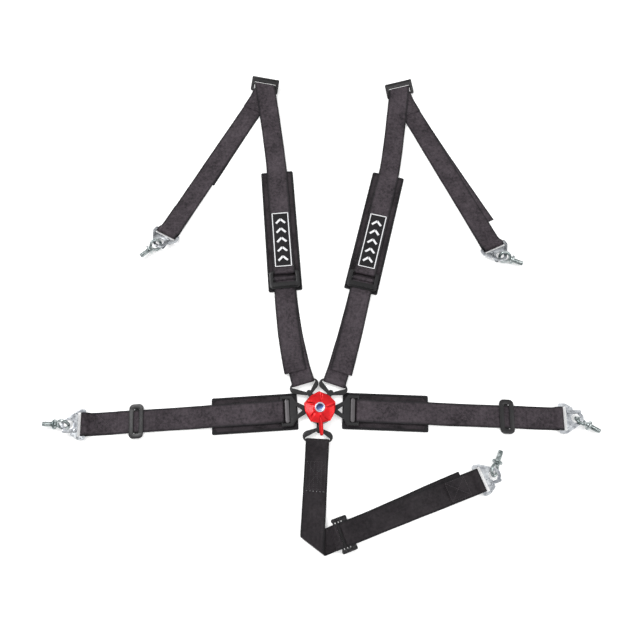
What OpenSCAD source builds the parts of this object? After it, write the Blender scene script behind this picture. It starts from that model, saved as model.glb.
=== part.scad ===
// Five-point racing harness laid out flat. +Z is up, +Y points to the shoulder ends, and the origin is the
// middle of the buckle's back face. Straps are flat strips that wrap round the bars they hang on.

/* [Webbing] */
// Width of the webbing
web_w = 50; // [48:0.5:50]
// Thickness of the webbing
web_t = 1.6; // [1.4:0.1:1.6]
// Gap left between layers that lie on each other
gap = 0.3; // [0.2:0.1:0.3]

/* [Pads] */
// Width of the shoulder pads
shoulder_pad_w = 78; // [70:1:80]
// Length of the shoulder pads
shoulder_pad_l = 320; // [300:1:325]
// Width of the lap pads
lap_pad_w = 80; // [74:1:84]
// Length of the lap pads
lap_pad_l = 186; // [170:1:190]
// Thickness of a pad
pad_t = 6; // [5:0.5:6]

/* [Buckle] */
// Radius of the buckle's base and housing
housing_r = 31; // [31:0.5:32]
// Radius of the knob at its five ridges
knob_r = 36; // [34:0.5:37]
// Reach of the knob's pointer
pointer_r = 60; // [56:1:62]
// Height of the top of the knob
knob_top = 31; // [30:0.5:32]
// Height of the middle of the tongue plates
tongue_z = 10.5; // [10.5:0.1:10.6]
// How far the pins lift to free the tongues
pin_lift = 4; // [3.8:0.1:4]

/* [Shoulder straps, left and right] */
// Middle of each shoulder tongue's webbing bar
tongue_bar = [[-37.5, 60], [32, 58.5]]; // [-40:0.5:60]
// Direction in which the webbing leaves each shoulder tongue
tongue_heading = [107, 71]; // [60:1:110]
// Headings of the lower straps
low_heading = [100.3, 74.5]; // [70:0.1:105]
// Lengths of the lower straps, from the tongue bar to the adjuster's bar
low_length = [251, 256]; // [250:1:262]
// How far each free tail has drifted sideways where it ends
tail_drift = [11, -8]; // [-12:1:12]
// Headings of the pads
pad_heading = [94.9, 76.2]; // [75:0.1:96]
// Distance from the adjuster's bar to the middle of the top slide
slide_reach = [548, 544]; // [540:1:550]
// Sideways drift of the strap at the top slide
slide_drift = [13.9, 25.2]; // [13:0.1:26]
// Direction in which each top slide points
slide_heading = [78, 106]; // [76:1:108]
// Headings of the rear straps
rear_heading = [-118, -65.2]; // [-120:0.1:-60]
// Lengths of the rear straps
rear_length = [467, 479]; // [460:1:480]
// Lengths of the free tails behind the rear straps
tail_length = [300, 416]; // [280:1:420]
// How far the ends of those tails have drifted sideways
rear_tail_drift = [3, 16]; // [0:1:18]

/* [Lap straps, left and right] */
// Headings of the lap straps
lap_heading = [183.7, -2.2]; // [-3:0.1:184]
// Distance from the buckle to each lap hook's bar
lap_length = [510, 520]; // [500:1:525]
// Distance from the buckle to each lap slide
lap_slide_at = [398, 405]; // [390:1:410]

/* [Crotch strap] */
// Middle of the crotch tongue's webbing bar
crotch_bar = [-5.4, -69]; // [-70:0.5:0]
// Heading of the upper crotch strap
crotch_heading = -92.9; // [-94:0.1:-92]
// Distance from the tongue's bar to the diagonal fold
crotch_drop = 206; // [204:1:208]
// Heading of the strap beyond the fold
crotch_out_heading = 20.6; // [20:0.1:21]
// Distance from the fold to the crotch slide
crotch_slide_at = 62; // [61:1:63]
// Distance from the crotch slide to the hook's bar
crotch_length = 303; // [300:1:306]

/* [Ends: rear left, rear right, lap left, lap right, crotch] */
// Swing of each eye bolt in its hook
eye_swing = [-23, 48, -6, -28, 47]; // [-50:1:50]
// Radius of the eye bolt's thread, 7/16 inch
shank_r = 5.556; // [5:0.001:6]
// Length of the eye bolt's thread
shank_l = 24; // [20:1:28]

/* [Hidden] */
$fn = 48;

strap_colour = [0.17, 0.16, 0.18];
pad_colour = [0.12, 0.12, 0.13];
black_metal = [0.1, 0.1, 0.11];
plated = [0.72, 0.73, 0.75];

// Heights of the layers
half_t = web_t / 2;
layer = web_t + gap;               // pitch of layers that lie on each other
low_z = half_t + gap;              // a strap on the ground
second_z = low_z + layer;          // a strap on another
on_pad_z = pad_t + gap + half_t;   // a strap on a pad
slide_z = 3.9;                     // a strap that runs through a lap slide
hook_bar_z = 8;                    // the webbing bar of a hook
hook_tilt = 13;                    // the hook leans on its eye bolt
wrap_r = 6.1;                      // radius of webbing round a hook's flat bar
tongue_wrap_r = 4.4;               // radius of webbing round a tongue's flat bar
tongue_t = 3;
arm_w = 6;                         // width of a tongue's arms
loop_r = 12;                       // radius of the loop's outer corners
bar_half = web_w / 2 + 1.4;        // half of the clear width between a tongue's arms

// Shoulder adjuster
frame_z = on_pad_z + 4.1;          // the adjuster's plate lies in this plane
lock_r = 3;
lock_wrap = lock_r + gap + half_t;
rear_bar_at = 17;
rear_bar_wrap = 3.9;
pad_overhang = 28;                 // the pad reaches this far below the adjuster's bar

// Three-bar slide
slide_bar_r = 2.2;
slide_pitch = 15;
slide_wrap = slide_bar_r + gap + half_t;
top_tilt = 30;
near_bar_z = 7.8;
centre_bar_z = near_bar_z + slide_pitch * sin(top_tilt);
near_x = -slide_pitch * cos(top_tilt);

// Hook and eye bolt
hook_t = 3.5;
hook_half = 33;                    // half the width at the webbing slot
hook_r = 16;                       // outer radius round the eye
eye_at = 31;                       // the eye's middle, from the webbing's bar
eye_r = 9.5;
gate_pivot = [17, 13.5];
gate_rivet_r = 2;
ring_r = 12;                       // middle of the eye bolt's ring
ring_wire = 3.4;
ring_roll = 30;
ring_pitch = -15;

// Lap adjuster
lap_bar_at = 83;                   // its crossbar, from the buckle
lap_bar_wrap = 3.2;
lap_half = 33;                     // half the width of its frame
lap_pad_at = 49;

// Buckle
neck_angles = [123, 57.5, lap_heading[0], lap_heading[1], crotch_heading];
neck_w = 15;                       // width of a tongue's neck
pin_at = 21;                       // locking pins, from the middle
pin_r = 3;
base_top = 3;
deck_top = 8.7;                    // the tongues lie on the deck
plate_z = 13;                      // under side of the pin plate
plate_top = 15;
shell_in = plate_top + pin_lift + 0.8;
shell_top = shell_in + 2.2;
shell_wall = 2.6;
knob_z = shell_top + 1;
spindle_r = 4;
spindle_bore = 4.05;
post_angles = [90, 153, 222, 318, 27];
post_at = 25;
rivet_r = 1.5;
rivet_bore = 1.55;
badge_r = 11;

function dir(a) = [cos(a), sin(a)];
function turned(v, a) = [v.x * cos(a) - v.y * sin(a), v.x * sin(a) + v.y * cos(a)];
function lift(p, z) = [p.x, p.y, z];
function unit(v) = v / norm(v);

// Points of an arc in a plane, by its centre, radius and angles
function arc(c, r, a0, a1, n = 10) = [for (i = [0:n]) c + r * dir(a0 + (a1 - a0) * i / n)];

// One station across a strap: its middle, and the vector from there to one edge
function station(s, y, z, yaw = 0, skew = 0) =
    [[s, y, z], web_w / 2 / cos(skew) * lift(dir(yaw + 90), 0)];

// Direction of travel at station i, and the strip's normal there
function travel(r, i) = r[min(i + 1, len(r) - 1)][0] - r[max(i - 1, 0)][0];
function across(r, i) = unit(cross(travel(r, i), r[i][1]));

// A closed strip of webbing through a row of stations
module strip(r, t = web_t) {
    n = len(r);
    corners = [[-1, -1], [1, -1], [1, 1], [-1, 1]];
    points = [for (i = [0:n - 1]) for (c = corners) r[i][0] + c.x * r[i][1] + c.y * t / 2 * across(r, i)];
    sides = [for (i = [0:n - 2]) for (k = [0:3]) let (a = 4 * i + k, b = 4 * i + (k + 1) % 4)
        for (f = [[a, a + 4, b + 4], [a, b + 4, b]]) f];
    polyhedron(points, concat([[0, 1, 2, 3]], sides, [[4 * n - 1, 4 * n - 2, 4 * n - 3, 4 * n - 4]]));
}

// A straight bar with round ends between two points of a plane
module bar(a, b, w) {
    along = atan2(b.y - a.y, b.x - a.x);
    polygon(concat(arc(a, w / 2, along + 90, along + 270, 8), arc(b, w / 2, along - 90, along + 90, 8)));
}

module rounded_plate(size, r) {
    for (m = [-1, 1]) translate([m * (size.x / 2 - r), 0]) square([2 * r, size.y - 2 * r], center = true);
    square([size.x - 2 * r, size.y], center = true);
    for (x = [-1, 1]) for (y = [-1, 1]) translate([x * (size.x / 2 - r), y * (size.y / 2 - r)]) circle(r);
}

module slab(z0, z1) translate([0, 0, z0]) linear_extrude(z1 - z0) children();
module at(p, a) translate(lift(p, 0)) rotate([0, 0, a]) children();

// ---------- Buckle ----------

module rivet_places() for (a = post_angles) rotate(a) translate([post_at, 0, 0]) children();

module buckle_base() color(black_metal) difference() {
    union() {
        slab(0, base_top) circle(housing_r);
        slab(base_top, deck_top) circle(housing_r - shell_wall - 0.4);
    }
    for (a = neck_angles) rotate(a) translate([pin_at, 0, 6]) cylinder(r = pin_r + 0.5, h = 5);
    slab(1.5, 10) circle(spindle_bore);
    rivet_places() translate([0, 0, -1]) cylinder(r = rivet_bore, h = 20);
}

module buckle_housing() color(black_metal) difference() {
    union() {
        slab(base_top + 0.1, shell_in) difference() {
            circle(housing_r);
            circle(housing_r - shell_wall);
        }
        slab(shell_in, shell_top) circle(housing_r);
        rivet_places() slab(deck_top + 0.3, shell_in) circle(3.2);
    }
    // Mouths of the channels for the tongues
    slab(tongue_z - 1.9, tongue_z + 1.9)
        for (a = neck_angles) rotate(a) translate([20, -neck_w / 2 - 0.5]) square([20, neck_w + 1]);
    slab(shell_in - 1, shell_top + 1) circle(spindle_r + 0.4);
    rivet_places() translate([0, 0, 8]) cylinder(r = rivet_bore, h = 20);
}

module housing_rivets() color(plated) rivet_places() {
    cylinder(r = rivet_r, h = shell_top + 0.4);
    translate([0, 0, shell_top + 0.05]) cylinder(r = 2.6, h = 0.6);
}

// Outline of the five-ridged knob
function ridges(r, valley) =
    [for (i = [0:4]) for (k = [0, 1]) (k == 0 ? r : valley) * dir(93 + 72 * i + 36 * k)];

module buckle_lever() color([0.8, 0.06, 0.08]) difference() {
    union() {
        hull() {
            slab(knob_z, knob_z + 2) polygon(ridges(knob_r, knob_r * 0.9));
            slab(knob_top - 2, knob_top) polygon(ridges(knob_r * 0.5, knob_r * 0.45));
        }
        // Pointer
        hull() {
            slab(knob_z + 0.3, knob_top - 3) rotate(273) translate([19, 0]) circle(6.5);
            slab(knob_z + 0.3, knob_z + 3) rotate(273) translate([pointer_r - 3.6, 0]) circle(3.6);
        }
    }
    slab(knob_z - 1, knob_top - 2.5) circle(spindle_bore);
    // Pockets of the spring and the badge
    slab(knob_z - 1, knob_z + 3) circle(11);
    slab(knob_top - 1.2, knob_top + 1) circle(badge_r + 0.2);
}

module buckle_badge() color([0.75, 0.77, 0.8]) slab(knob_top - 1.1, knob_top + 0.8) circle(badge_r);

module lever_spindle() color(plated) slab(1.7, knob_top - 2.7) circle(spindle_r);

module lever_spring() color(plated) slab(shell_top + 0.3, knob_z + 2.6) difference() {
    circle(9.5);
    circle(7);
}

module pin_plate() color(plated) {
    slab(plate_z, plate_top) difference() {
        circle(23.5);
        circle(spindle_r + 0.06);
        for (a = post_angles) rotate(a) translate([post_at, 0]) circle(3.8);
    }
    for (a = neck_angles) rotate(a) translate([pin_at, 0, deck_top - 0.3]) cylinder(r = pin_r, h = 4.8);
}

module pin_spring() color(plated) slab(plate_top + 0.1, shell_in - 0.1) difference() {
    circle(16);
    circle(12.5);
}

// ---------- Tongues ----------

// Loop of a webbing tongue, drawn with x the way the webbing leaves: the bar under the webbing, and two arms
// that clear it and meet at the neck into the buckle
module loop_tongue(bar_mid, heading, neck_angle, hub) {
    hub_at = dir(neck_angle) * hub;
    hub_in = turned(hub_at - bar_mid, -heading);
    slab(tongue_z - tongue_t / 2, tongue_z + tongue_t / 2) difference() {
        union() {
            translate(bar_mid) rotate(heading) difference() {
                hull() {
                    for (m = [-1, 1])
                        translate([2.5 - loop_r, m * (bar_half + arm_w - loop_r)]) circle(loop_r);
                    translate(hub_in) circle(6.8);
                }
                hull() {
                    for (m = [-1, 1]) translate([-5, m * (bar_half - 2.5)]) circle(2.5);
                    translate(hub_in) circle(1);
                }
            }
            bar(hub_at, dir(neck_angle) * 19, neck_w - 4);
            translate(dir(neck_angle) * pin_at) circle(neck_w / 2);
        }
        translate(dir(neck_angle) * pin_at) circle(4.3);
    }
}

module shoulder_tongue(i) color(black_metal)
    loop_tongue(tongue_bar[i], tongue_heading[i], neck_angles[i], 44);

module crotch_tongue() color(black_metal)
    loop_tongue(crotch_bar, crotch_heading, crotch_heading, 47);

// Lap tongue in one piece with its adjuster's frame and crossbar
module lap_tongue(i) color(black_metal) rotate(lap_heading[i]) {
    slab(tongue_z - tongue_t / 2, tongue_z + tongue_t / 2) {
        difference() {
            union() {
                translate([14, -neck_w / 2]) square([20, neck_w]);
                polygon([[30, -neck_w / 2], [52, -20], [60, -lap_half], [65, -lap_half],
                         [65, lap_half], [60, lap_half], [52, 20], [30, neck_w / 2]]);
            }
            translate([pin_at, 0]) circle(4.3);
            polygon([[38, 0], [51, -10], [51, 10]]);
        }
        for (m = [-1, 1]) translate([64, m * (lap_half - 3.15) - 3.15]) square([lap_bar_at - 63, 6.3]);
    }
    // Crossbar
    translate([lap_bar_at, 1 - lap_half, tongue_z]) rotate([-90, 0, 0])
        cylinder(r = 2, h = 2 * lap_half - 2);
}

module lap_lock_bar(i) color([0.62, 0.62, 0.64]) rotate(lap_heading[i])
    translate([0, 0, tongue_z - 1.6]) slab(0, 4) translate([71, 0]) rounded_plate([8.5, 52], 4.2);

// ---------- Shoulder adjusters ----------

function lock_point(i) = tongue_bar[i] + low_length[i] * dir(low_heading[i]);
function slide_point(i) = lock_point(i) + turned([slide_reach[i], slide_drift[i]], pad_heading[i]);
function near_bar_point(i) = slide_point(i) + near_x * dir(slide_heading[i]);

module shoulder_adjuster(i) color(black_metal) at(lock_point(i), pad_heading[i]) {
    slab(frame_z - 1.25, frame_z + 1.25) difference() {
        translate([-2.2, 0]) rounded_plate([43.6, 70], 7);
        translate([2.9, 0]) rounded_plate([22.8, 52.8], 2);
    }
    // Finger lip, bent up from the plate's front edge
    translate([-22, 0, frame_z + 1]) rotate([0, -55, 0]) translate([-1.2, -29, -0.8]) cube([5.5, 58, 2]);
}

module shoulder_lock_bar(i) color([0.3, 0.3, 0.32]) at(lock_point(i), pad_heading[i])
    translate([0, -26.1, frame_z]) rotate([-90, 0, 0]) cylinder(r = lock_r, h = 52.2);

// ---------- Slides ----------

// Two round bars that the webbing hangs on and a broad far bar, between side rails in the plane z = 0, with x
// across the bars
module three_bar_slide() {
    for (x = [-slide_pitch, 0]) translate([x, -31, 0]) rotate([-90, 0, 0]) cylinder(r = slide_bar_r, h = 62);
    slab(-1.5, 1.5) {
        for (m = [-1, 1]) translate([0, m * 31.6]) rounded_plate([37, 8], 3.9);
        translate([12, 0]) rounded_plate([12, 62], 2);
    }
    // Bead along the far edge
    translate([slide_pitch, -29, 0.8]) rotate([-90, 0, 0]) cylinder(r = 2, h = 58);
}

module shoulder_slide(i) color(black_metal) at(slide_point(i), slide_heading[i])
    translate([0, 0, centre_bar_z]) rotate([0, -top_tilt, 0]) three_bar_slide();

// Arched slide: two outer bars over the strap and the centre bar under it
module arched_slide() {
    over = slide_z + half_t + gap;
    under = slide_z - half_t - gap;
    slab(over, over + 2.5) difference() {
        rounded_plate([31, 75], 10);
        rounded_plate([12, 55], 3);
    }
    slab(under - 2.4, under) translate([-4, -31]) square([8, 62]);
    for (m = [-1, 1]) slab(under - 2.4, over + 1) translate([0, m * 30.5]) square([8, 7], center = true);
}

module lap_slide(i) color(black_metal)
    at(lap_slide_at[i] * dir(lap_heading[i]), lap_heading[i]) arched_slide();

// ---------- Shoulder straps ----------

// Height and sideways place of the lower strap, s from the tongue's bar
function low_bend(i) = pad_heading[i] - low_heading[i];
function low_yaw(i, s) =
    lookup(s, [[0, tongue_heading[i] - low_heading[i]], [50, -low_bend(i) * (1 - 2 * 50 / low_length[i])],
               [low_length[i], low_bend(i)]]);
function low_y(i, s) = let (u = s / low_length[i]) -low_bend(i) * PI / 180 * low_length[i] * u * (1 - u);
function low_height(i, s) = let (l = low_length[i])
    lookup(s, [[0, tongue_z + tongue_wrap_r], [6, 14.2], [13, 11.5], [21, 7.8], [31, 4.6], [42, second_z],
               [78, second_z], [98, low_z], [l - 90, low_z], [l - 60, low_z + 2.6], [l - 36, on_pad_z],
               [l, on_pad_z]]);
function low_station(i, s, up = 0, drift = 0) =
    station(s, low_y(i, s) + drift * (1 - s / low_length[i]), low_height(i, s) + up, low_yaw(i, s));

module shoulder_lower_strap(i) {
    l = low_length[i];
    yaw0 = tongue_heading[i] - low_heading[i];
    sewn_end = [for (p = [[74, low_z], [42, low_z], [30, 1.5], [18, 2.7], [8, 4.6]])
        station(p.x, low_y(i, p.x), p.y, low_yaw(i, p.x))];
    round_tongue = [for (p = arc([0, tongue_z], tongue_wrap_r, 270, 90)) station(p.x, 0, p.y, yaw0)];
    up_leg = [for (s = [6, 13, 21, 31, 42, 60, 78, 98, 120, 142, l - 90, l - 60, l - 36, l - 20, l - 6])
        low_station(i, s)];
    round_lock = [for (p = arc([l, frame_z], lock_wrap, -90, 185)) station(p.x, 0, p.y, low_yaw(i, l))];
    dip = [station(l - 5.2, 0, on_pad_z + layer + 0.9, low_yaw(i, l)),
           station(l - 8.5, 0, on_pad_z + layer + 0.05, low_yaw(i, l))];
    tail = [for (s = [l - 20, l - 36, l - 60, l - 90, 142, 120, 98, 78, 60, 42, 31, 27])
        low_station(i, s, layer, tail_drift[i])];
    color(strap_colour) at(tongue_bar[i], low_heading[i])
        strip(concat(sewn_end, round_tongue, up_leg, round_lock, dip, tail));
}

// The strap from the adjuster over the pad to the top slide, in the pad's own frame
function strap_y(i, s) = let (free = max(0, s - 300), run = slide_reach[i] - 300)
    slide_drift[i] * pow(free / run, 1.25);
function strap_slope(i, s) = let (run = slide_reach[i] - 300)
    atan(1.25 * slide_drift[i] / run * pow(max(0, s - 300) / run, 0.25));
function strap_yaw(i, s) = let (end_yaw = slide_heading[i] - pad_heading[i], turn_from = slide_reach[i] - 75)
    s < turn_from ? strap_slope(i, s)
                  : lookup(s, [[turn_from, strap_slope(i, s)], [slide_reach[i] - 12, end_yaw]]);

module shoulder_strap(i) {
    l = slide_reach[i];
    over_pad = [for (s = [64, 46, 36, 28, 22]) let (z = lookup(s, [[22, 14.4], [28, 12.4], [36, 10],
        [46, on_pad_z + layer], [64, on_pad_z + layer]])) station(s, 0, z)];
    round_rear = [for (p = arc([rear_bar_at, frame_z], rear_bar_wrap, 80, 280)) station(p.x, 0, p.y)];
    heights = [[24, on_pad_z], [440, on_pad_z], [l - 45, 8.8], [l - 24, 12.6], [l - 13, 15.6],
               [l - 5, centre_bar_z + slide_wrap - 0.3]];
    run = [for (s = [24, 60, 120, 180, 240, 300, 340, 380, 420, 450, l - 75, l - 60, l - 45, l - 32, l - 24,
                     l - 13, l - 5]) let (yaw = strap_yaw(i, s))
        station(s, strap_y(i, s), lookup(s, heights), yaw, yaw - strap_slope(i, s))];
    end_yaw = strap_yaw(i, l);
    // Down round the centre bar and on towards the tail
    ahead = slide_heading[i] - pad_heading[i];
    round_centre = [for (p = concat(arc([0, centre_bar_z], slide_wrap, 90, -80), [[-3.5, 9.2], [-4.5, 5.2]]))
        let (q = turned([p.x, 0], ahead)) station(l + q.x, strap_y(i, l) + q.y, p.y, end_yaw,
                                                  end_yaw - strap_slope(i, l))];
    color(strap_colour) at(lock_point(i), pad_heading[i])
        strip(concat(over_pad, round_rear, run, round_centre));
}

// Rear strap, from the slide's near bar to the hook's bar, in its own frame
function bar_yaw(i) = slide_heading[i] - rear_heading[i] - 180;
function rear_yaw(i, s) = lookup(s, [[0, bar_yaw(i)], [70, 0]]);
function rear_station(i, s, y, z) = station(s, y, z, rear_yaw(i, s), rear_yaw(i, s));
hook_wrap = arc([0, hook_bar_z], wrap_r, -90, 90);

// The last stretch of a strap that ends at a hook: under the bar, round it and back over the top
function hook_end(l, under, over) = concat(
    [for (p = [[-60, under], [-35, under], [-16, 1.7], [-7, 1.8]]) station(l + p.x, 0, p.y)],
    [for (p = hook_wrap) station(l + p.x, 0, p.y)],
    [for (p = [[-5, 12.8], [-9.5, 8.6], [-14, over + 0.9], [-24, over], [-38, over], [-72, over]])
        station(l + p.x, 0, p.y)]);

module rear_strap(i) {
    l = rear_length[i];
    sewn_end = [for (p = [[62, second_z + layer], [30, 5.2], [16, 7.6], [7, 10.2]])
        rear_station(i, p.x, 0, p.y)];
    round_bar = [for (p = arc([0, near_bar_z], slide_wrap, 90, 270)) rear_station(i, p.x, 0, p.y)];
    run = [for (s = [8, 20, 35, 50, 70, 140, 210, 280, 350, l - 100])
        rear_station(i, s, 0, lookup(s, [[8, 3.8], [20, second_z]]))];
    color(strap_colour) at(near_bar_point(i), rear_heading[i])
        strip(concat(sewn_end, round_bar, run, hook_end(l, second_z, second_z + layer)));
}

module shoulder_tail(i) {
    l = tail_length[i];
    color(strap_colour) at(near_bar_point(i), rear_heading[i])
        strip([for (s = [2, 12, 25, 45, 70, l * 0.35, l * 0.5, l * 0.65, l * 0.8, l])
            rear_station(i, s, rear_tail_drift[i] * pow(s / l, 1.6),
                         lookup(s, [[2, 1.8], [12, 1.4], [25, low_z]]))]);
}

// ---------- Lap straps ----------

module lap_strap(i) {
    l = lap_length[i];
    tail = [for (s = [205, 150, 110, 94]) station(s, 0, on_pad_z)];
    round_bar = [for (p = arc([lap_bar_at, tongue_z], lap_bar_wrap, 275, 85)) station(p.x, 0, p.y)];
    run = [for (p = [[90, 12.2], [99, 9.9], [108, on_pad_z + layer], [150, on_pad_z + layer],
                     [205, on_pad_z + layer], [222, on_pad_z + 1], [240, on_pad_z], [262, 4.8],
                     [285, slide_z], [330, slide_z], [380, slide_z], [432, slide_z]]) station(p.x, 0, p.y)];
    color(strap_colour) rotate(lap_heading[i])
        strip(concat(tail, round_bar, run, hook_end(l, low_z, second_z)));
}

// ---------- Crotch strap ----------

fold_high = 11;
fold_low = 2.4;
fold_r = (fold_high - fold_low) / 2;
fold_heading = (crotch_heading + crotch_out_heading) / 2;
fold_gain = fold_r * PI / tan(fold_heading - crotch_heading);   // run along the fold's line in the turn
fold_point = crotch_bar + crotch_drop * dir(crotch_heading);
fold_exit = fold_point + fold_gain * dir(fold_heading);
crotch_slide_point = fold_exit + crotch_slide_at * dir(crotch_out_heading);
crotch_tilt = -28;
crotch_centre_z = 13.8;
sewn_bar_x = -slide_pitch * cos(crotch_tilt);
sewn_bar_z = crotch_centre_z - slide_pitch * sin(crotch_tilt);

// A station whose edge line leans from square across the strap (lean 0) to along the fold's line (lean 1)
function leaning(p, z, square, lean) = let (h = square + lean * (fold_heading - square))
    [lift(p, z), web_w / 2 / cos(h - square) * lift(dir(h), 0)];

module crotch_upper_strap() {
    d = dir(crotch_heading);
    o = dir(crotch_out_heading);
    over_edge = dir(fold_heading - 90);
    square_in = crotch_heading + 90;
    square_out = crotch_out_heading - 90;
    sewn_end = [for (p = [[104, low_z], [60, low_z], [34, 1.6], [20, 2.8], [8, 4.6]])
        leaning(crotch_bar + p.x * d, p.y, square_in, 0)];
    round_tongue = [for (p = arc([0, tongue_z], tongue_wrap_r, 270, 90))
        leaning(crotch_bar + p.x * d, p.y, square_in, 0)];
    down = [for (p = [[6, 14.2, 0], [13, 11.5, 0], [21, 7.8, 0], [31, 4.8, 0], [42, second_z, 0],
                      [70, second_z, 0], [108, second_z, 0], [130, 4.8, 0], [150, 7.4, 0.25],
                      [168, 9.8, 0.6], [184, fold_high, 1], [crotch_drop - 2, fold_high, 1]])
        leaning(crotch_bar + p.x * d, p.y, square_in, p.z)];
    fold_mid = (fold_high + fold_low) / 2;
    fold = [for (k = [1:9]) let (a = 90 - 20 * k) leaning(
        fold_point + fold_r * cos(a) * over_edge + k / 9 * fold_gain * dir(fold_heading),
        fold_mid + fold_r * sin(a), square_in, 1)];
    out = [for (p = [[10, 2.5, 1], [20, 3.4, 0.6], [31, 6.4, 0.25], [39, 10.6, 0], [45, 14.6, 0]])
        leaning(fold_exit + p.x * o, p.y, square_out, p.z)];
    sewn_bar_at = crotch_slide_at + sewn_bar_x;
    round_bar = [for (p = arc([sewn_bar_at, sewn_bar_z], slide_wrap, -60, 120))
        leaning(fold_exit + p.x * o, p.y, square_out, 0)];
    stub = [for (p = [[44, 20.6], [37, 14.9]]) leaning(fold_exit + p.x * o, p.y, square_out, 0)];
    color(strap_colour) strip(concat(sewn_end, round_tongue, down, fold, out, round_bar, stub));
}

module crotch_lower_strap() {
    l = crotch_length;
    run_in = [for (p = [[272, low_z, 8], [230, low_z, 7], [150, low_z, 4], [80, low_z, 1.5], [45, 1.3, 0.5],
                        [26, 1.9, 0], [13, 2.7, 0], [6, 6.4, 0]]) station(p.x, p.z, p.y)];
    round_centre = [for (p = arc([0, crotch_centre_z], slide_wrap, 290, 85)) station(p.x, 0, p.y)];
    run_out = [for (p = [[6, 14.4], [13.5, 10.6], [24, 7], [38, 4.2], [55, second_z], [120, second_z],
                         [200, second_z]]) station(p.x, 0, p.y)];
    color(strap_colour) at(crotch_slide_point, crotch_out_heading)
        strip(concat(run_in, round_centre, run_out, hook_end(l, second_z, second_z + layer)));
}

module crotch_slide() color(black_metal) at(crotch_slide_point, crotch_out_heading)
    translate([0, 0, crotch_centre_z]) rotate([0, -crotch_tilt, 0]) three_bar_slide();

// ---------- Pads ----------

module pad(l, w) {
    slab(0.2, pad_t) translate([l / 2, 0]) rounded_plate([l, w], 3);
}

module shoulder_pad(i) color(pad_colour)
    at(lock_point(i) - pad_overhang * dir(pad_heading[i]), pad_heading[i]) pad(shoulder_pad_l, shoulder_pad_w);

module lap_pad(i) color(pad_colour) rotate(lap_heading[i]) translate([lap_pad_at, 0, 0])
    pad(lap_pad_l, lap_pad_w);

// ---------- Hooks and eye bolts ----------

function end_place(k) =
    k < 2 ? [near_bar_point(k) + rear_length[k] * dir(rear_heading[k]), rear_heading[k]]
    : k < 4 ? [lap_length[k - 2] * dir(lap_heading[k - 2]), lap_heading[k - 2]]
    : [crotch_slide_point + crotch_length * dir(crotch_out_heading), crotch_out_heading];

// Places a piece that is drawn in the hook's plane, x away from the webbing
module at_hook(k) at(end_place(k)[0], end_place(k)[1]) translate([0, 0, hook_bar_z])
    rotate([0, -hook_tilt, 0]) children();

// The mouth and the gate are on the side away from the one that the eye bolt has swung to
function gate_side(k) = eye_swing[k] > 0 ? -1 : 1;
function gate_place(k) = [gate_pivot.x, gate_pivot.y * gate_side(k)];

module hook(k) color(plated) at_hook(k) {
    slab(-hook_t / 2, hook_t / 2) difference() {
        hull() {
            translate([5.25, 0]) rounded_plate([17.5, 2 * hook_half], 4);
            translate([eye_at, 0]) circle(hook_r);
        }
        translate([8, 0]) rounded_plate([9, 52.8], 2);
        translate([eye_at, 0]) circle(eye_r);
        // Mouth
        translate([eye_at, 15 * gate_side(k)]) square([9.6, 30], center = true);
        translate(gate_place(k)) circle(gate_rivet_r + 0.05);
    }
    // Rivet of the gate
    translate(lift(gate_place(k), 0)) {
        slab(-4.2, 4.2) circle(gate_rivet_r);
        for (m = [-1, 1]) translate([0, 0, m * 4.5]) slab(-0.4, 0.4) circle(3.4);
    }
}

// Sprung gate: two cheeks that straddle the hook, joined by a web across the mouth
module gate(k) color(plated) at_hook(k) {
    tip = gate_place(k) + [eye_at + 9 - gate_pivot.x, 0.5 * gate_side(k)];
    for (z = [-3.5, 2.3]) slab(z, z + 1.2) difference() {
        bar(gate_place(k), tip, 7);
        translate(gate_place(k)) circle(gate_rivet_r + 0.05);
    }
    slab(-3.4, 3.4) translate([eye_at, gate_place(k).y + 2.4 * gate_side(k)]) square([8, 1.6], center = true);
}

// Ring, collar and threaded shank; the ring's wire passes through the hook's eye
module eye_bolt(k) color(plated) at_hook(k) translate([eye_at, 0, 0]) rotate([0, 0, eye_swing[k]])
    rotate([0, -ring_pitch, 0]) rotate([gate_side(k) * ring_roll, 0, 0]) translate([ring_r, 0, 0]) {
        rotate([90, 0, 0]) rotate_extrude() translate([ring_r, 0]) circle(ring_wire);
        rotate([0, 90, 0]) {
            translate([0, 0, ring_r + 1.5]) cylinder(r = 7, h = 5);
            translate([0, 0, ring_r + 5]) cylinder(r = 11, h = 3.5);
            translate([0, 0, ring_r + 8]) cylinder(r = shank_r, h = shank_l + 0.5);
        }
    }

buckle_base();
buckle_housing();
buckle_lever();
buckle_badge();
pin_plate();
pin_spring();
lever_spindle();
lever_spring();
housing_rivets();
shoulder_tongue(0);  // shoulder_tongue_left
shoulder_tongue(1);  // shoulder_tongue_right
crotch_tongue();
lap_tongue(0);  // lap_tongue_left
lap_tongue(1);  // lap_tongue_right
lap_lock_bar(0);  // lap_lock_bar_left
lap_lock_bar(1);  // lap_lock_bar_right
shoulder_adjuster(0);  // shoulder_adjuster_left
shoulder_adjuster(1);  // shoulder_adjuster_right
shoulder_lock_bar(0);  // shoulder_lock_bar_left
shoulder_lock_bar(1);  // shoulder_lock_bar_right
shoulder_slide(0);  // shoulder_slide_left
shoulder_slide(1);  // shoulder_slide_right
lap_slide(0);  // lap_slide_left
lap_slide(1);  // lap_slide_right
crotch_slide();
shoulder_lower_strap(0);  // shoulder_lower_strap_left
shoulder_lower_strap(1);  // shoulder_lower_strap_right
shoulder_strap(0);  // shoulder_strap_left
shoulder_strap(1);  // shoulder_strap_right
shoulder_tail(0);  // shoulder_tail_left
shoulder_tail(1);  // shoulder_tail_right
rear_strap(0);  // rear_strap_left
rear_strap(1);  // rear_strap_right
lap_strap(0);  // lap_strap_left
lap_strap(1);  // lap_strap_right
crotch_upper_strap();
crotch_lower_strap();
shoulder_pad(0);  // shoulder_pad_left
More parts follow.
